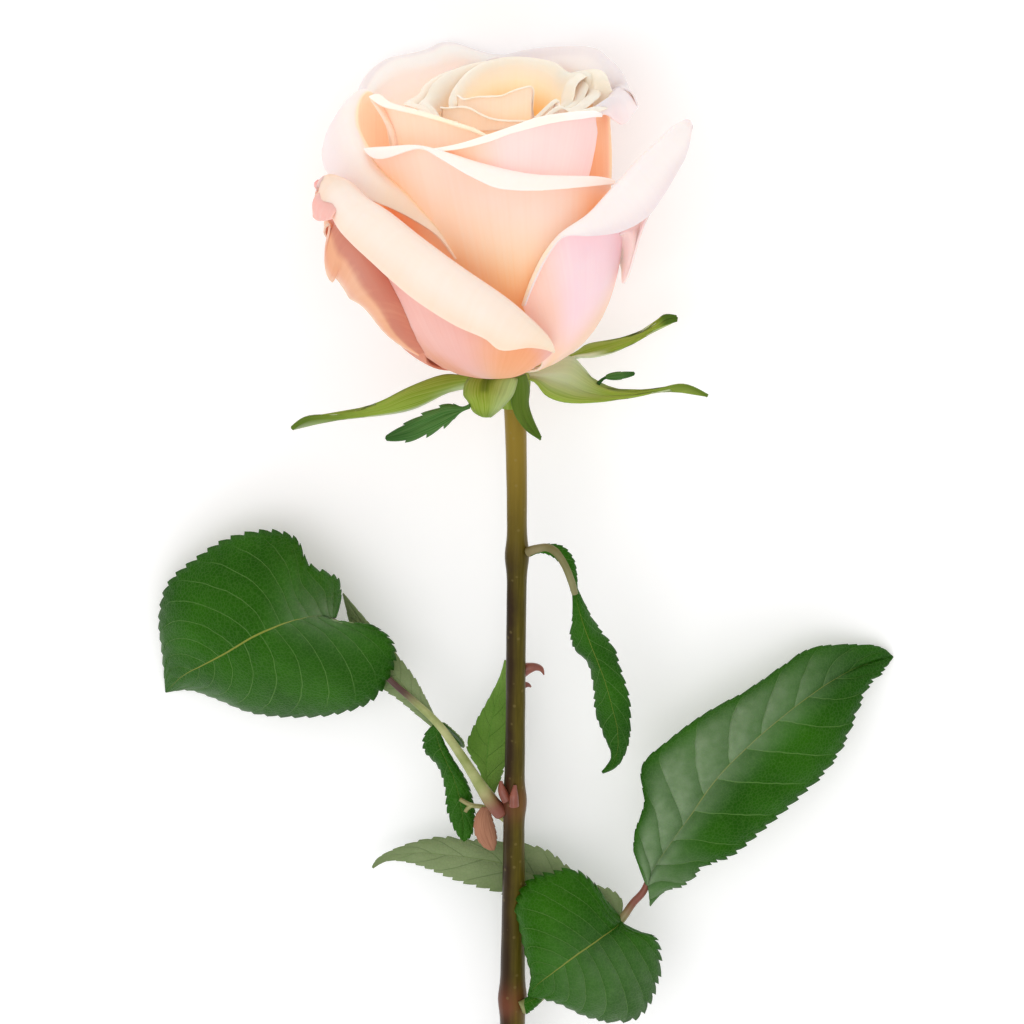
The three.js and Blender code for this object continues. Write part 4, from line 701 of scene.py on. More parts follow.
def sepal_skin(name, green, pale, dark):
    """Sepal skin: matt with a fine downy bloom. Ribs run along it, and it darkens where painted: to its tip,
    and as painted shade in the slit of the front sepal's fold.
    """
    made, tree = material(name)
    along = add(tree, "UVMap", {}, uv_map="UVMap")[0]
    where = add(tree, "Mapping", {"Vector": along, "Scale": (26.0, 1.5, 1.0)})[0]
    ribs = add(tree, "TexNoise", {"Vector": where, "Scale": 1.0, "Detail": 4.0})["Fac"]
    body = add(tree, "TexCoord", {})["Object"]
    down = add(tree, "TexNoise", {"Vector": body, "Scale": 350.0, "Detail": 3.0})["Fac"]
    felt = add(tree, "Attribute", {}, attribute_name="felt")["Fac"]
    tip = add(tree, "Attribute", {}, attribute_name="tip")["Fac"]
    ribbed = add(tree, "MapRange", {0: ribs, 1: 0.35, 2: 0.7, 3: 0.0, 4: 0.55})[0]
    darkened = add(tree, "Math", {0: tip, 1: 0.9}, operation="MULTIPLY", use_clamp=True)[0]
    colour = linear(green)
    for share, code in ((ribbed, pale), (felt, "#DDE6C6"), (darkened, dark)):
        colour = add(tree, "Mix", {0: share, 6: colour, 7: linear(code)}, data_type="RGBA")[2]
    height = add(tree, "Math", {0: down, 1: 0.5, 2: ribs}, operation="MULTIPLY_ADD")[0]
    bump = add(tree, "Bump", {"Strength": 0.35, "Distance": 0.4 * MM, "Height": height})[0]
    skin = add(tree, "BsdfPrincipled",
               {"Base Color": colour, "Roughness": 0.6, "Normal": bump, "Specular IOR Level": 0.15,
                "Subsurface Weight": 0.12, "Subsurface Radius": (0.5, 1.0, 0.2), "Subsurface Scale": MM,
                "Sheen Weight": 0.08, "Sheen Roughness": 0.5})[0]
    add(tree, "OutputMaterial", {"Surface": skin})
    return made


sepal_outside = sepal_skin("sepal skin, ribbed green", "#7F9A22", "#BCCB6A", "#3A5C0C")
sepal_inside = sepal_skin("sepal skin, pale felt inside", "#B9C987", "#E6EDD2", "#5A7A38")
sepal_dark = sepal_skin("sepal lobe skin, deep green", "#2A6118", "#7A9A5A", "#1D4A10")


def hip_place(s, t):
    r, z = line([Vector((r, z, 0)) for r, z in HIP_ROWS], t).xy
    return Vector((r * cos(2 * pi * s), r * sin(2 * pi * s), z))


hip = sheet("hip", 28, 16, hip_place, lambda s, t: dict(felt=0.0, tip=0.25 * (1 - t)), shut=True)
grown(hip, "calyx", "sepals", sepal_outside)

# Each has its name, teeth, fullness, and its left edge, middle and right edge on the plan.
SEPALS = [
    ("left", 1, 0.15,
     [(507, 376, 2), (460, 375, -1.5), (444, 375, -2.5), (408, 388, -3), (381, 402, -3.5), (344, 414, -5),
      (306, 417, -7), (292, 427, -8)],
     [(508, 381, 1), (470, 382, -1), (440, 390, -1.5), (410, 398, -2), (381, 409, -3.5), (344, 416, -5),
      (306, 419, -7), (291, 428, -8)],
     [(509, 387, 0), (478, 388, -2), (450, 391, -3), (416, 408, -3.5), (381, 415, -4), (344, 419, -5.2),
      (310, 421, -7), (293, 430, -8)]),
    ("front", 1, 0.2,
     [(503, 382, 1.8), (470, 378, 1.8), (464, 395, 4.2), (469, 402, 5.5), (474, 412, 6), (482, 416, 6)],
     [(508, 381, 3.6), (490, 379, 4.8), (486, 392, 7), (486, 404, 7.5), (486, 411, 7), (486, 417, 6.2)],
     [(514, 381, 3.6), (517, 379, 4.2), (513, 394, 3.8), (506, 403, 4.4), (499, 410, 5), (490, 417, 6)]),
    ("front_lobe", 5, 0.2,
     [(470, 404, 6), (462, 407, 6.2), (450, 404, 6.4), (432, 410, 6.4), (412, 420, 5), (387, 436, 3)],
     [(470, 406, 6), (461, 410, 6), (446, 414, 6.4), (428, 422, 6), (408, 431, 4.6), (385, 438, 3)],
     [(470, 408, 6), (460, 412, 5.8), (450, 422, 5.4), (436, 431, 5), (412, 440, 4), (387, 440, 3)]),
    ("by_stem", 1, 0.2,
     [(513, 377, 3.8), (511, 398, 1.8), (514, 412, 1.8), (524, 428, 1.6), (539, 438, 1)],
     [(519, 376, 3.8), (520, 396, 1.8), (522, 412, 1.4), (529, 427, 1.2), (541, 440, 1)],
     [(525, 374, 2.4), (529, 388, 0.6), (528, 404, 0.2), (533, 420, 0.6), (541, 437, 1)]),
    ("right", 1, 0.2,
     [(518, 374, -1.5), (545, 366, -6), (571, 357, -9), (583, 368, -8), (600, 386, -5), (634, 393.4, -3),
      (660, 388.4, -2), (684, 384.6, -1.4), (708, 395.4, -1)],
     [(518, 377, 0.5), (545, 378, -2), (566, 384, -3.5), (584, 392, -3.5), (604, 396, -3),
      (637, 394.6, -2.4), (662, 389.4, -1.8), (683, 385.6, -1.4), (708, 396, -1)],
     [(520, 380, 1), (534, 382, 0.5), (545, 395, 0), (562, 402, -0.6), (600, 402.4, -1.4), (637, 396, -2),
      (662, 390.6, -1.8), (683, 386.8, -1.4), (707, 397, -1)]),
    ("far_right", 1, 0.2,
     [(512, 374, -4), (574, 354, -12), (587, 345, -15), (611, 340.5, -16), (636, 335, -15.5),
      (654, 325.6, -14.6), (663, 315, -14), (676, 316, -14)],
     [(513, 376, -4), (574, 356, -11), (590, 352, -13), (612, 346, -14), (638, 337, -14.6),
      (656, 326.8, -14.4), (667, 319, -14), (678, 318, -14)],
     [(514, 378, -4), (576, 358, -10), (592, 358, -11.5), (616, 352, -13), (640, 339, -14.4),
      (658, 328.4, -14.2), (668, 324, -14), (677, 321, -14)]),
    ("right_lobe", 2, 0.2,
     [(606, 376, -4.2), (611, 373.6, -4.2), (622, 372.4, -4.2), (634, 372.6, -4.2)],
     [(606, 377, -4.2), (612, 376, -4), (623, 375, -4), (635, 373.4, -4.2)],
     [(606, 378, -4.2), (612, 379.4, -4.2), (624, 378, -4.2), (634, 374.6, -4.2)]),
]
PALE_FELT = {
    "left": lambda s, t: 0.9 * smooth(0.9, 0.98, s) + 0.7 * smooth(0.4, 0.1, t) * smooth(0.35, 0.8, s),
    "front": lambda s, t: 0.25 * smooth(0.5, 0.9, s),
    "right": lambda s, t: 0.9 * smooth(0.55, 0.1, t) * smooth(1.0, 0.3, s),
    "far_right": lambda s, t: 0.9 * smooth(0.5, 0.36, t) * smooth(0.6, 0.75, s),
}
DARK_TIP_AND_SLIT_SHADE = {
    "left": lambda s, t: 0.8 * smooth(0.55, 0.95, t),
    # The front sepal's dark strip down its middle is painted shade in the slit of its fold.
    "front": lambda s, t: (0.6 * hump(s, 0.42, 0.52, 0.07) * hump(t, 0.15, 0.45, 0.1)
                           + 0.5 * smooth(0.7, 1.0, t)),
    "by_stem": lambda s, t: 0.85 + 0.15 * smooth(0.5, 1.0, t),
    "far_right": lambda s, t: smooth(0.8, 0.9, t),
}
for name, teeth, bulge, left, mid, right in SEPALS:
    leafy = "lobe" in name
    pale = PALE_FELT.get(name, lambda s, t: 0.0)
    dark = DARK_TIP_AND_SLIT_SHADE.get(name, lambda s, t: 0.7 * smooth(0.5, 1.0, t))
    sepal = blade("sepal_" + name, left, mid, right, teeth=teeth, bulge=bulge, veins=5,
                  cut=2.0 if leafy else 0.0, relief=0.1 if leafy else 0.0, columns=12,
                  per=8 if leafy else 40, thick=0.5,
                  paint=lambda s, t: dict(felt=pale(s, t), tip=dark(s, t)))
    skins = (sepal_dark, sepal_dark) if leafy else (sepal_outside, sepal_inside)
    grown(sepal, "calyx", "sepals", *skins)
lobe_stalk = tube("sepal_lobe_stalk", [at(598, 384, -4.6), at(603, 379, -4.4), at(609, 376.4, -4.2)],
                  [0.45, 0.3, 0.35], sides=10, rings=10, paint=lambda s, t: dict(felt=0.0, tip=1.0))
grown(lobe_stalk, "calyx", "sepals", sepal_dark)

# The stem: a woody green shoot, smooth-skinned, darkened brown-red along one side, partly by its own flush and
# partly by painted shade, and swollen where leaves grow. It bears hooked prickles and small red buds, and ends
# in a knife cut.
# Distances down the stem and its radius at each in mm, its line on the plan, and its nodes down it in mm.
STEM_RUN = [0, 35, 80, 100, 140, 254]
STEM_RADIUS = [2.35, 2.12, 2.1, 2.25, 2.7, 2.9]
STEM_LINE = [(514.5, 404), (516, 440), (517, 545), (516, 645), (515.2, 740), (514.2, 800), (513.5, 900),
             (512.5, 1016), (514, 1110), (516, 1215), (515, 1290), (513, 1370), (512, 1436)]
NODES = [41.5, 98, 145, 185, 222]
NODE_SWELL = 0.5


def stem_at(px, py):
    """A plan square as a point on the upright plane that the stem stands in."""
    v = (CENTRE - py) * STEP
    rise = sin(TIP) / cos(TIP)
    return at(px, py, rise * (v - (CENTRE - BASE[1]) * STEP) / (1 + rise * v / FAR))


def stem_run(t):
    """How far down the stem from the bloom's base, in mm."""
    return -line(stem_points, t).z


def stem_swell(s, t):
    run = stem_run(t)
    knots = sum(NODE_SWELL * exp(-((run - q) / 3.2) ** 2) for q in NODES)
    uneven = 0.04 * noise.noise(Vector((3 * cos(2 * pi * s), run / 6, 0)))
    return between(STEM_RUN, STEM_RADIUS, run) + knots + uneven


def stem_paint(s, t):
    run = stem_run(t)
    left = smooth(-0.35, 0.6, cos(2 * pi * s))
    knots = sum(exp(-((run - q) / 4) ** 2) for q in NODES[1:3])
    # The dark red-brown down one side is partly the bark's own flush and partly painted shade.
    return dict(flush_and_shade=left * smooth(20, 60, run), fresh=smooth(48, 8, run), red=min(1.0, knots) * 0.7)


stem_points = [stem_at(x, y) for x, y in STEM_LINE]

# Bark: a smooth green skin, finely streaked, with pale pores 2 mm apart, and mottled dark red-brown down one
# side, partly its own flush and partly painted shade. Its low shine is tinted like the bark, so that the sky's
# white doesn't grey it.
bark, tree = material("green bark, flushed and shaded red-brown")
along = add(tree, "UVMap", {}, uv_map="UVMap")[0]
where = add(tree, "Mapping", {"Vector": along, "Scale": (26.0, 30.0, 1.0)})[0]
streaks = add(tree, "TexNoise", {"Vector": where, "Scale": 1.0, "Detail": 5.0})["Fac"]
body = add(tree, "TexCoord", {})["Object"]
patches = add(tree, "TexNoise", {"Vector": body, "Scale": 160.0, "Detail": 4.0})["Fac"]
pores = add(tree, "TexVoronoi", {"Vector": body, "Scale": 420.0})["Distance"]
flush_and_shade = add(tree, "Attribute", {}, attribute_name="flush_and_shade")["Fac"]
fresh = add(tree, "Attribute", {}, attribute_name="fresh")["Fac"]
red = add(tree, "Attribute", {}, attribute_name="red")["Fac"]
uneven = add(tree, "Math", {0: patches, 1: 1.2, 2: -0.6}, operation="MULTIPLY_ADD")[0]
# Where the bark is flushed, its dark red-brown is partly its own colour and partly painted shade.
flushed = add(tree, "Math", {0: uneven, 1: flush_and_shade}, operation="ADD", use_clamp=True)[0]
streaked = add(tree, "MapRange", {0: streaks, 1: 0.35, 2: 0.7, 3: 0.0, 4: 0.6})[0]
reddened = add(tree, "Math", {0: red, 1: patches}, operation="MULTIPLY", use_clamp=True)[0]
dotted = add(tree, "MapRange", {0: pores, 1: 0.1, 2: 0.18, 3: 0.22, 4: 0.0})[0]
colour = linear("#433B06")
for share, code in ((streaked, "#5F5316"), (flushed, "#26160A"), (fresh, "#8C7428"), (reddened, "#8A4A36"),
                    (dotted, "#8F7F50")):
    colour = add(tree, "Mix", {0: share, 6: colour, 7: linear(code)}, data_type="RGBA")[2]
bump = add(tree, "Bump", {"Strength": 0.3, "Distance": 0.3 * MM, "Height": streaks})[0]
skin = add(tree, "BsdfPrincipled",
           {"Base Color": colour, "Roughness": 0.36, "Normal": bump, "Specular IOR Level": 0.28,
            "Specular Tint": (0.9, 0.75, 0.45, 1.0)})[0]
add(tree, "OutputMaterial", {"Surface": skin})
stem = tube("stem_shoot", stem_points, [0.0] * len(stem_points), sides=28, rings=260, paint=stem_paint,
            swell=stem_swell)
grown(stem, "stem", "stem", bark)

# Prickles and buds: a mottled red with a thin waxy coat, which gives each one a small sharp highlight.
thorn_red, tree = material("prickle, waxy red")
body = add(tree, "TexCoord", {})["Object"]
patches = add(tree, "TexNoise", {"Vector": body, "Scale": 500.0, "Detail": 3.0})["Fac"]
colour = add(tree, "Mix", {0: patches, 6: linear("#5E2A1C"), 7: linear("#9A5440")}, data_type="RGBA")[2]
skin = add(tree, "BsdfPrincipled", {"Base Color": colour, "Roughness": 0.35, "Coat Weight": 0.2})[0]
add(tree, "OutputMaterial", {"Surface": skin})
# Each has its name, its line on the plan, and its radius in mm at each point.
HOOKS = [
    ("prickle_large",
     [(521, 671, -25.2), (529, 668, -24.6), (536, 667, -24.4), (541, 669, -24.6), (544, 675, -25.2)],
     [1.7, 1.25, 0.85, 0.6, 0.12]),
    ("prickle_small", [(522, 685, -27), (528, 685, -27), (531, 687, -27.4)], [0.9, 0.55, 0.15]),
    ("prickle_low_left", [(506, 1098, -56), (498, 1094, -55), (492, 1095, -55), (487, 1101, -56)],
     [1.7, 1.1, 0.7, 0.12]),
    ("prickle_low_right", [(520, 1268, -72), (529, 1263, -70), (535, 1264, -69.6), (540, 1271, -70)],
     [1.7, 1.1, 0.7, 0.12]),
    ("bud_left", [(507, 800, -31), (502, 790, -30.4), (501, 781, -30.6)], [1.2, 0.95, 0.35]),
    ("bud_front", [(514, 806, -30.2), (514, 796, -29.5), (515, 785, -29.4)], [1.1, 0.95, 0.35]),
    ("bud_upper", [(519, 562, -13.4), (520, 553, -12.3), (519.5, 544, -12)], [0.8, 0.6, 0.25]),
]
for name, points, radii in HOOKS:
    hook = tube(name, [at(*p) for p in points], radii, sides=14, rings=20)
    grown(hook, "stem", "stem", thorn_red)

# Leaves: compound, of stalked leaflets with saw-toothed edges. The blade is leathery, deep glossy green
# above with sunken veins, and pale and matt below with raised ones.
LEAF_THICK = 0.35


def leaf_skin(name, deep, light, vein, rib, gloss, shine, sunk):
    """Leaf skin: a waxy face, with side veins bowed forward from the midrib and a net finer than 1 mm
    between them. Its shine is tinted green, so that the sky's white doesn't grey it, and a painted sheen
    lies in broken streaks between the veins."""
    made, tree = material(name)
    along = add(tree, "UVMap", {}, uv_map="UVMap")[0]
    across, up, _ = add(tree, "SeparateXYZ", {0: along})
    side = add(tree, "Math", {0: across, 1: 2.0, 2: -1.0}, operation="MULTIPLY_ADD")[0]
    off = add(tree, "Math", {0: side}, operation="ABSOLUTE")[0]
    bow = add(tree, "Math", {0: off, 1: VEIN_BOW}, operation="POWER")[0]
    count = add(tree, "Attribute", {}, attribute_name="veins")["Fac"]
    sweep = add(tree, "Attribute", {}, attribute_name="sweep")["Fac"]
    swept = add(tree, "Math", {0: bow, 1: sweep}, operation="MULTIPLY")[0]
    forward = add(tree, "Math", {0: up, 1: swept}, operation="SUBTRACT")[0]
    hand = add(tree, "Math", {0: side, 1: 0.0}, operation="LESS_THAN")[0]
    staggered = add(tree, "Math", {0: hand, 1: 0.5}, operation="MULTIPLY")[0]
    row = add(tree, "Math", {0: forward, 1: count, 2: staggered}, operation="MULTIPLY_ADD")[0]
    body = add(tree, "TexCoord", {})["Object"]
    wobble = add(tree, "TexNoise", {"Vector": body, "Scale": 220.0, "Detail": 2.0})["Fac"]
    wavy = add(tree, "Math", {0: wobble, 1: 0.16, 2: -0.08}, operation="MULTIPLY_ADD")[0]
    shifted = add(tree, "Math", {0: row, 1: wavy}, operation="ADD")[0]
    part = add(tree, "Math", {0: shifted}, operation="FRACT")[0]
    centred = add(tree, "Math", {0: part, 1: 0.5}, operation="SUBTRACT")[0]
    near = add(tree, "Math", {0: centred}, operation="ABSOLUTE")[0]
    lines = add(tree, "MapRange", {0: near, 1: 0.46, 2: 0.5, 3: 0.0, 4: 1.0},
                interpolation_type="SMOOTHSTEP")[0]
    faded = add(tree, "MapRange", {0: off, 1: 0.75, 2: 0.97, 3: 1.0, 4: 0.0})[0]
    side_veins = add(tree, "Math", {0: lines, 1: faded}, operation="MULTIPLY")[0]
    wide = add(tree, "MapRange", {0: up, 1: 0.0, 2: 1.0, 3: 0.015, 4: 0.008},
               interpolation_type="SMOOTHSTEP")[0]
    share = add(tree, "Math", {0: off, 1: wide}, operation="DIVIDE")[0]
    midrib = add(tree, "MapRange", {0: share, 1: 0.5, 2: 1.0, 3: 1.0, 4: 0.0},
                 interpolation_type="SMOOTHSTEP")[0]
    cells = add(tree, "TexVoronoi", {"Vector": body, "Scale": 1300.0},
                feature="DISTANCE_TO_EDGE")["Distance"]
    net = add(tree, "MapRange", {0: cells, 1: 0.0, 2: 0.12, 3: 1.0, 4: 0.0})[0]
    cloud = add(tree, "TexNoise", {"Vector": body, "Scale": 60.0, "Detail": 4.0})["Fac"]
    mottled = add(tree, "MapRange", {0: cloud, 1: 0.35, 2: 0.7})[0]
    faint = add(tree, "Math", {0: net, 1: 0.16}, operation="MULTIPLY")[0]
    strong = add(tree, "Math", {0: side_veins, 1: 0.6}, operation="MULTIPLY")[0]
    drawn = add(tree, "Math", {0: faint, 1: strong}, operation="MAXIMUM")[0]
    sheen = add(tree, "Attribute", {}, attribute_name="sheen")["Fac"]
    pleat = add(tree, "MapRange", {0: part, 1: 0.05, 2: 0.95, 3: 1.05, 4: 0.5})[0]
    wrinkle = add(tree, "TexNoise", {"Vector": body, "Scale": 420.0, "Detail": 3.0})["Fac"]
    streaky = add(tree, "MapRange", {0: wrinkle, 1: 0.3, 2: 0.7, 3: 0.7, 4: 1.1})[0]
    broken = add(tree, "Math", {0: pleat, 1: streaky}, operation="MULTIPLY")[0]
    patchy = add(tree, "Math", {0: sheen, 1: broken}, operation="MULTIPLY", use_clamp=True)[0]
    colour = linear(deep)
    for share, code in ((mottled, light), (drawn, vein), (midrib, rib), (patchy, "#748A68")):
        colour = add(tree, "Mix", {0: share, 6: colour, 7: linear(code)}, data_type="RGBA")[2]
    netted = add(tree, "Math", {0: net, 1: 0.25, 2: side_veins}, operation="MULTIPLY_ADD")[0]
    height = add(tree, "Math", {0: netted, 1: midrib}, operation="ADD")[0]
    bump = add(tree, "Bump", {"Strength": 0.55, "Distance": 0.3 * MM, "Height": height}, invert=sunk)[0]
    skin = add(tree, "BsdfPrincipled",
               {"Base Color": colour, "Roughness": gloss, "Normal": bump, "Specular IOR Level": shine,
                "Specular Tint": (0.55, 0.85, 0.3, 1.0), "Subsurface Weight": 0.05,
                "Subsurface Radius": (0.3, 1.0, 0.1), "Subsurface Scale": 0.6 * MM})[0]
    add(tree, "OutputMaterial", {"Surface": skin})
    return made


leaf_top = leaf_skin("leaf skin, waxy deep green", "#164800", "#275E04", "#668F48", "#858A3A",
                     0.38, 0.2, True)
leaf_under = leaf_skin("leaf underside, matt grey-green", "#6F7F55", "#87966C", "#5E7549", "#6E8448",
                       0.7, 0.15, False)
leaf_fresh = leaf_skin("young leaf underside, green", "#5A8030", "#7A9C4A", "#4A7428", "#4C8A2C",
                       0.6, 0.15, False)


def leaflet(name, node, left, mid, right, teeth, cut=0.9, veins=9, relief=0.3, columns=24, sweep=0.16,
            skins=(leaf_top, leaf_under), sheen=None, **shape):
    """A leaflet with the number and sweep of its side veins painted on, and its sheen where it has one."""
    def paint(s, t):
        return dict(veins=veins, sweep=sweep, sheen=sheen(s, t) if sheen else 0.0)

    piece = blade(name, left, mid, right, teeth=teeth, cut=cut, veins=veins, relief=relief, columns=columns,
                  sweep=sweep, thick=LEAF_THICK, paint=paint, **shape)
    grown(piece, node, "leaves", *skins)


# Leaf stalk: a dull shine over mottled pale green, flushed purple and rose where it is painted so.
stalk_skin, tree = material("leaf stalk, green flushed red")
body = add(tree, "TexCoord", {})["Object"]
patches = add(tree, "TexNoise", {"Vector": body, "Scale": 240.0, "Detail": 3.0})["Fac"]
purple = add(tree, "Attribute", {}, attribute_name="purple")["Fac"]
rosy = add(tree, "Attribute", {}, attribute_name="rosy")["Fac"]
mottled = add(tree, "MapRange", {0: patches, 1: 0.35, 2: 0.7})[0]
colour = linear("#84904A")
for share, code in ((mottled, "#ABAE74"), (purple, "#4E3028"), (rosy, "#7E4434")):
    colour = add(tree, "Mix", {0: share, 6: colour, 7: linear(code)}, data_type="RGBA")[2]
bump = add(tree, "Bump", {"Strength": 0.2, "Distance": 0.3 * MM, "Height": patches})[0]
skin = add(tree, "BsdfPrincipled", {"Base Color": colour, "Roughness": 0.45, "Normal": bump})[0]
add(tree, "OutputMaterial", {"Surface": skin})


def leaf_stalk(name, node, points, radii, paint, rings=60):
    """A leaf's stalk through plan squares with depths."""
    piece = tube(name, [at(*p) for p in points], radii, sides=16, rings=rings, paint=paint)
    grown(piece, node, "leaves", stalk_skin)


# The upper leaf: one narrow blade, half dried and hanging, on a winged stalk that arches over.
leaf_stalk("upper_leaf_stalk", "leaf_upper",
           [(528.5, 552, -12), (537, 549, -10.4), (548, 548, -9), (557, 553, -8), (565, 565, -8),
            (571, 580, -8.6), (575, 594, -9.6)],
           [1.1, 0.95, 0.9, 0.9, 0.85, 0.8, 0.7], lambda s, t: dict(purple=0.5, rosy=0.2 * (1 - t)))
leaflet("upper_leaf_wing", "leaf_upper",
        [(531, 556, -11.4), (542, 553, -9.6), (554, 557.5, -8.4), (562, 566, -8.4), (568, 580, -8.8),
         (571, 591, -9.6)],
        [(531, 552, -11.2), (545, 548.5, -9), (559, 554, -7.6), (567, 566, -7.8), (572, 580, -8.4),
         (574.5, 592, -9.4)],
        [(531, 546.5, -11.6), (548, 544, -9.4), (563, 546.5, -8.4), (573, 558, -8.4), (576.5, 573, -9),
         (577, 588, -9.6)], teeth=12, cut=0.9, veins=6, relief=0.1, columns=12)
leaflet("upper_leaf_blade", "leaf_upper",
        [(572.5, 590, -9.6), (573, 612, -11.4), (571, 637, -16), (575, 649, -18), (587, 661, -19.6),
         (594, 690, -24), (595, 708, -27), (603, 733, -30), (611.6, 756, -33), (602, 771, -35.6)],
        [(574.5, 590, -9.4), (580, 614, -10.6), (589, 640, -13.4), (597, 660, -16.4), (605, 681, -19.6),
         (612, 706, -23.6), (617.5, 730, -27.6), (617, 752, -31.6), (610, 768, -34.4), (602, 772, -35.8)],
        [(577, 588, -9.6), (585, 605, -11.6), (597, 626, -15), (612, 645, -17.4), (621, 670, -20.6),
         (629.6, 700, -24.6), (630, 727, -28.6), (628, 745, -31.4), (618, 765, -34), (603, 773, -36)],
        teeth=20, cut=0.7, bulge=0.12, veins=9, relief=0.2)

# The left leaf: a ribbed stalk, purple on top, with one broad leaflet at its end and smaller ones along it.
leaf_stalk("left_leaf_stalk", "leaf_left",
           [(501, 812, -34.4), (494, 805, -33), (482, 788, -31), (461.5, 756, -28.6), (438, 724, -27),
            (415, 702, -27.6), (390, 680, -29.4), (360, 648, -28.6), (338, 624, -24.6), (328, 618, -22.2)],
           [1.8, 1.6, 1.15, 0.95, 0.85, 0.75, 0.65, 0.6, 0.6, 0.6],
           lambda s, t: dict(purple=smooth(0.5, 0.6, t) * smooth(0.75, 0.4, abs(s - 0.25) * 2),
                             rosy=smooth(0.2, 0.05, t)), rings=90)
leaflet("left_leaf_end", "leaf_left",
        [(336, 618, -22), (341, 593, -26), (337, 578, -27), (309, 563, -24), (296, 538, -26),
         (272, 530, -27), (230, 537, -28.6), (197, 557, -30.6), (168, 583, -34), (159, 618, -38.4),
         (162, 650, -42), (166, 691.5, -46.6)],
        [(330, 618, -21.6), (318, 616, -20.8), (300, 619, -20.6), (288, 622, -21), (270, 629, -22.2),
         (253, 636.7, -24), (226, 652.8, -28.6), (205, 664, -33), (184, 675, -39), (166, 691.8, -46.8)],
        [(336, 622, -22), (352, 626, -22.6), (371, 625, -24.4), (391, 639, -26.6), (396, 653, -27.6),
         (392, 672, -28.6), (373, 700, -31), (338, 713.5, -34), (292, 717, -37.4), (251, 712.4, -40),
         (217, 699, -42.6), (190, 690, -45), (166, 692, -46.8)],
        teeth=30, cut=1.0, bulge=0.1, veins=12, relief=0.4, columns=32, sweep=0.32,
        sheen=lambda s, t: 0.75 * smooth(0.45, 0.0, t) * smooth(1.0, 0.2, abs(2 * s - 1)))
leaflet("left_leaf_behind", "leaf_left",
        [(432, 727, -27.6), (414, 712, -29.6), (398, 699, -31), (380, 686, -32.4), (362, 660, -33),
         (343, 594, -33)],
        [(434, 722, -27.6), (418, 702, -28.6), (402, 684, -29.6), (388, 664, -30.6), (368, 632, -31.6),
         (343, 594, -33)],
        [(436, 719, -27.6), (426, 699, -29.4), (416, 680, -30.6), (397, 655, -31.6), (368, 622, -32),
         (343, 593, -33)], teeth=14, cut=0.5, veins=8, relief=0.15, skins=(leaf_under, leaf_top))
leaflet("left_leaf_small", "leaf_left",
        [(434, 724, -27.8), (424, 736, -30.6), (424, 750, -32.6), (438, 766, -35), (445, 788, -37.4),
         (447, 810, -40), (456, 832, -42.8), (463, 841, -44)],
        [(436, 727, -27.8), (438, 741, -30), (445, 758, -32.6), (454, 778, -35), (460, 800, -37.8),
         (463, 820, -40.8), (463, 841, -44.2)],
        [(438, 728, -27.8), (450, 754, -32.6), (466, 780, -36), (473, 800, -38.6), (475, 820, -41.4),
         (471, 836, -43.4), (464, 841, -44.2)], teeth=16, cut=0.8, bulge=0.1, veins=7, relief=0.25)
leaflet("left_leaf_stipule", "leaf_left",
        [(437, 722, -27.4), (444, 723, -28), (454, 731, -28.6), (463, 741, -29.4), (464, 746, -30)],
        [(438, 726, -27.6), (444, 727, -29.4), (453, 735, -31), (460, 742, -31.6), (464, 747, -31)],
        [(438, 729, -28), (444, 731, -30.6), (452, 739, -32.4), (459, 745, -32.6), (464, 747.6, -31.6)],
        teeth=9, cut=0.7, veins=4, relief=0.1, columns=12)
leaflet("left_leaf_fresh", "leaf_left",
        [(487, 799, -32.8), (480, 772, -34.8), (467, 747, -36), (476, 722, -35.4), (486, 704, -34.6),
         (500, 677, -33), (505, 660, -32)],
        [(489, 800, -32.8), (486, 772, -34.8), (488, 747, -35), (491, 725, -34.4), (496, 703, -33.6),
         (501, 683, -32.6), (505, 660, -32)],
        [(491, 801, -32.8), (502, 774, -36), (510, 748, -36.2), (510, 726, -35.4), (508, 704, -34.2),
         (507, 684, -33), (506, 660, -32)], teeth=14, cut=0.5, veins=7, relief=0.15,
        skins=(leaf_fresh, leaf_top))

# The right leaf: a shorter stalk with two broad leaflets facing up and one turned over behind the stem.
leaf_stalk("right_leaf_stalk", "leaf_right",
           [(521, 1008, -46.6), (533, 1001, -46.8), (556, 978, -46), (590, 947, -44.6), (620, 921, -43),
            (633, 903, -42.2), (643, 892, -41.6), (650, 876, -40.6)],
           [1.5, 1.4, 1.2, 1.1, 1, 0.85, 0.8, 0.7], lambda s, t: dict(purple=0.3, rosy=smooth(0.6, 0.8, t)))
leaflet("right_leaf_stipule", "leaf_right",
        [(525, 999, -45.4), (533, 994, -45.4), (541, 993, -45.6), (549, 984, -46)],
        [(524, 1004, -45.2), (532, 1000, -45), (540, 996, -45.2), (549, 986, -45.8)],
        [(526, 1014, -46), (532, 1010, -46), (540, 1002, -46), (550, 988, -46)],
        teeth=6, cut=0.7, veins=4, relief=0.1, columns=12)
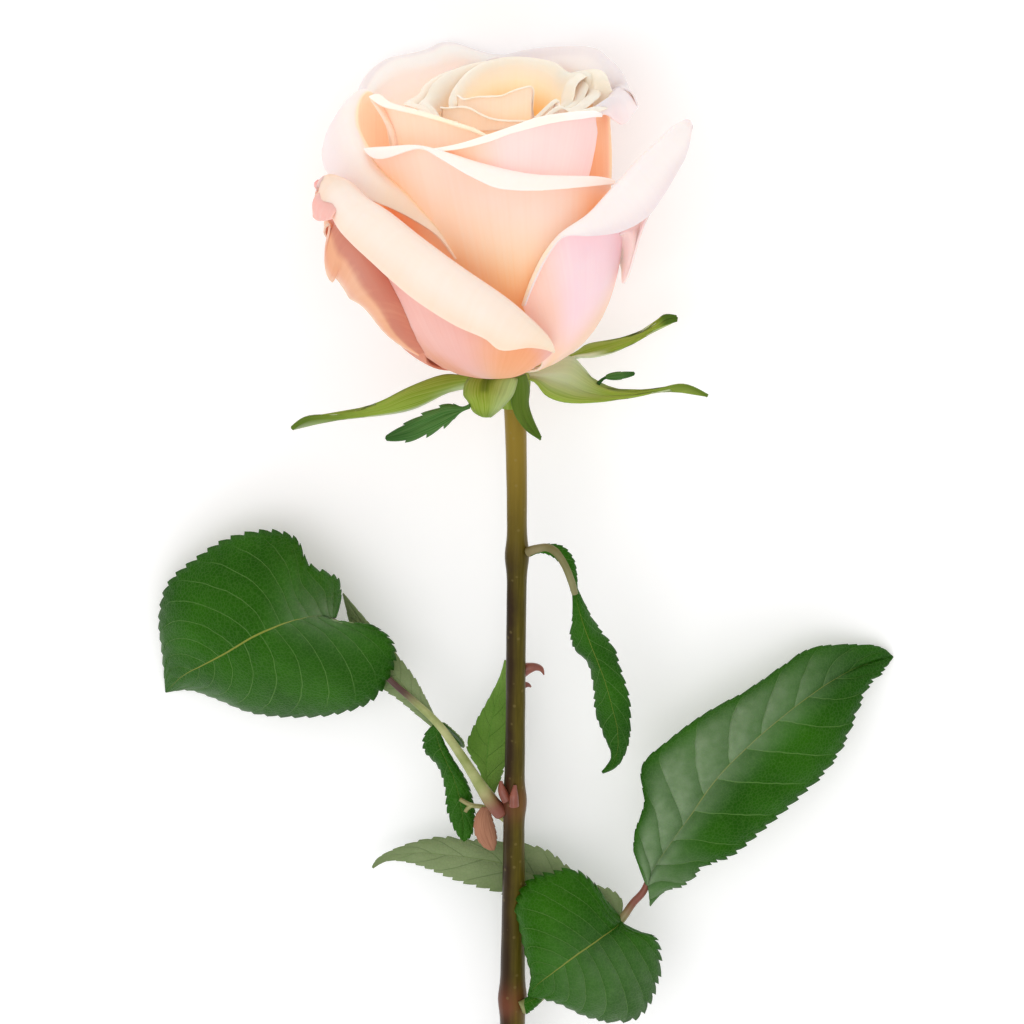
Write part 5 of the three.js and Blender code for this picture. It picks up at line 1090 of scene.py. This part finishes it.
leaflet("right_leaf_end", "leaf_right",
        [(646, 884, -40.6), (639, 866, -38), (633.6, 849, -36.4), (636, 828, -35), (644, 805, -33.6),
         (642, 766, -33), (670, 739, -32.6), (704, 714, -32.6), (746, 691, -33), (781, 667, -34),
         (809, 649, -35.6), (845, 644.6, -38.6), (880, 647, -42), (892, 656, -44.6)],
        [(648, 886, -40.6), (653, 870, -39.4), (665, 851, -37.6), (690, 816, -34.6), (718, 777, -32.2),
         (756, 739, -31.2), (798.5, 704, -33), (830, 682, -36.4), (858, 667, -40.2), (892.5, 656.3, -44.8)],
        [(650, 906, -42), (665, 891, -41), (686, 884, -39.6), (704, 866, -38), (730, 857, -38),
         (763, 830, -37.6), (802, 795, -37.4), (828, 768, -37.6), (843, 745, -38), (856, 714, -38.6),
         (867, 688, -40), (883, 671, -42.6), (893, 657, -44.8)],
        teeth=34, cut=1.0, bulge=0.08, veins=10, relief=0.7, columns=32, left_cut=0.3, sweep=0.15,
        sheen=lambda s, t: 1.0 * smooth(0.0, 0.2, s) * smooth(0.72, 0.4, s) * smooth(0.95, 0.5, t)
        + 0.6 * smooth(0.3, 0.1, t) * smooth(0.4, 0.6, s))
leaflet("right_leaf_behind", "leaf_right",
        [(621, 915, -43), (622, 900, -44), (612, 890, -45), (596, 885, -45.6), (570, 868, -46),
         (549, 851, -46.2), (525, 844, -46.6), (476, 840, -46.6), (439, 837, -46.6), (402, 846, -47.4),
         (378, 858, -48.6), (372, 867, -49.4)],
        [(620, 921, -43), (600, 909, -44.4), (577, 896, -45.2), (548, 881, -45.8), (500, 863, -45.8),
         (448, 855, -45.8), (410, 853, -46.8), (385, 859, -48.4), (372, 867, -49.4)],
        [(618, 924, -43), (596, 925, -45), (566, 917, -46.2), (530, 903, -46.8), (500, 893, -46.8),
         (458, 881, -46.8), (434, 871, -47), (412, 863, -47.6), (388, 860.5, -48.8), (373, 868, -49.6)],
        teeth=24, cut=0.8, veins=9, relief=0.2, skins=(leaf_under, leaf_top))
leaflet("right_leaf_front", "leaf_right",
        [(620, 917, -42.6), (606, 900, -40), (592, 881, -38.4), (576, 870, -38), (549, 872, -38),
         (532, 877, -38), (519, 892, -38.6), (516, 908, -39.2), (520, 930, -40), (526, 956, -40.8),
         (531, 975, -42), (528, 995, -43.4)],
        [(621, 921, -42.4), (615, 928, -40.4), (605, 935, -38.6), (591, 945, -37.4), (577, 954.5, -37),
         (563, 965, -37.6), (549, 975.5, -39), (538, 984, -41), (528, 995.5, -43.6)],
        [(623, 924, -42.6), (640, 932, -41.6), (656, 938, -42), (661, 956, -42.6), (658, 981, -43.4),
         (651, 1002, -44), (636, 1019, -44.4), (606, 1021, -44.2), (585, 1016, -44), (560, 1004, -43.6),
         (543, 999, -43.4), (529, 996, -43.6)],
        teeth=22, cut=1.2, bulge=0.12, veins=10, relief=0.5, columns=28, sweep=0.28,
        sheen=lambda s, t: 0.3 * smooth(0.2, 0.7, s) * smooth(0.1, 0.4, t) * smooth(0.95, 0.6, t))

# The bract: a scrap of dry brown leaf on a thin forked twig beside the middle node. It is matt like
# paper, with streaks along it that catch the light.
dry_leaf, tree = material("dry leaf, papery pink-brown")
along = add(tree, "UVMap", {}, uv_map="UVMap")[0]
where = add(tree, "Mapping", {"Vector": along, "Scale": (16.0, 2.0, 1.0)})[0]
streaks = add(tree, "TexNoise", {"Vector": where, "Scale": 1.0, "Detail": 5.0})["Fac"]
colour = add(tree, "Mix", {0: streaks, 6: linear("#7E4A34"), 7: linear("#BD8868")}, data_type="RGBA")[2]
bump = add(tree, "Bump", {"Strength": 0.5, "Distance": 0.4 * MM, "Height": streaks})[0]
skin = add(tree, "BsdfPrincipled", {"Base Color": colour, "Roughness": 0.8, "Normal": bump})[0]
add(tree, "OutputMaterial", {"Surface": skin})
TWIGS = [
    ("bract_twig",
     [(506, 821, -36.4), (497, 814.5, -37.4), (485, 807.5, -37.3), (471, 805, -36.6), (460, 799, -36)],
     [0.6, 0.6, 0.55, 0.5, 0.45]),
    ("bract_fork", [(472, 805, -36.6), (468, 808, -36.6), (465, 812, -36.6)], [0.5, 0.45, 0.4]),
]
for name, points, radii in TWIGS:
    twig = tube(name, [at(*p) for p in points], radii, sides=10, rings=24,
                paint=lambda s, t: dict(purple=0.0, rosy=0.4 * t))
    grown(twig, "bract", "bract", stalk_skin)
scrap = blade("bract_scrap",
              [(482, 807, -36.8), (475, 818, -37.6), (475, 833, -38.6), (483, 846, -39.4),
               (491, 850, -39.6)],
              [(485, 807, -36.8), (484, 820, -37), (486, 833, -37.8), (490, 843, -38.8), (493, 850, -39.6)],
              [(488, 807, -36.8), (493, 821, -37.8), (496, 832, -38.6), (496.5, 841, -39.2),
               (494, 850, -39.6)],
              teeth=7, cut=0.5, veins=5, relief=0.2, columns=12)
grown(scrap, "bract", "bract", dry_leaf, dry_leaf)

# Floor and light: a plain pale surface under wide soft lamps, with an even white sky.
bpy.ops.mesh.primitive_plane_add(size=6.0, location=(0, 0, 0))
floor = bpy.context.object
floor.name = "floor"
# Paper: matt, with a faint light of its own that keeps it near white.
floor_white, tree = material("matt white paper")
paper = add(tree, "BsdfPrincipled", {"Base Color": linear("#FCFCFC"), "Roughness": 0.9,
                                     "Emission Color": (1, 1, 1, 1), "Emission Strength": 0.12})[0]
add(tree, "OutputMaterial", {"Surface": paper})
floor.data.materials.append(floor_white)

# Each lamp has its name, place and width in metres and power in watts, and points at the lit middle.
LIT_MIDDLE = Vector((0, 0.05, 0.03))
LAMPS = [
    ("lamp_over_camera", (-0.35, 0.0, 1.5), 1.4, 5.2),
    ("lamp_front_of_bloom", (0.1, 1.5, 0.75), 1.2, 1.5),
    ("lamp_low", (-0.2, -1.1, 0.8), 0.9, 2.0),
]
for name, place, wide, power in LAMPS:
    lamp_data = bpy.data.lights.new(name, "AREA")
    lamp_data.shape = "DISK"
    lamp_data.size = wide
    lamp_data.energy = power
    lamp = bpy.data.objects.new(name, lamp_data)
    lamp.location = place
    lamp.rotation_euler = (LIT_MIDDLE - Vector(place)).to_track_quat("-Z", "Y").to_euler()
    bpy.context.scene.collection.objects.link(lamp)
world = bpy.data.worlds.new("white sky")
bpy.context.scene.world = world
world.use_nodes = True
sky = world.node_tree.nodes["Background"]
sky.inputs["Color"].default_value = (1, 1, 1, 1)
sky.inputs["Strength"].default_value = 0.8
bpy.context.scene.view_settings.view_transform = "Standard"
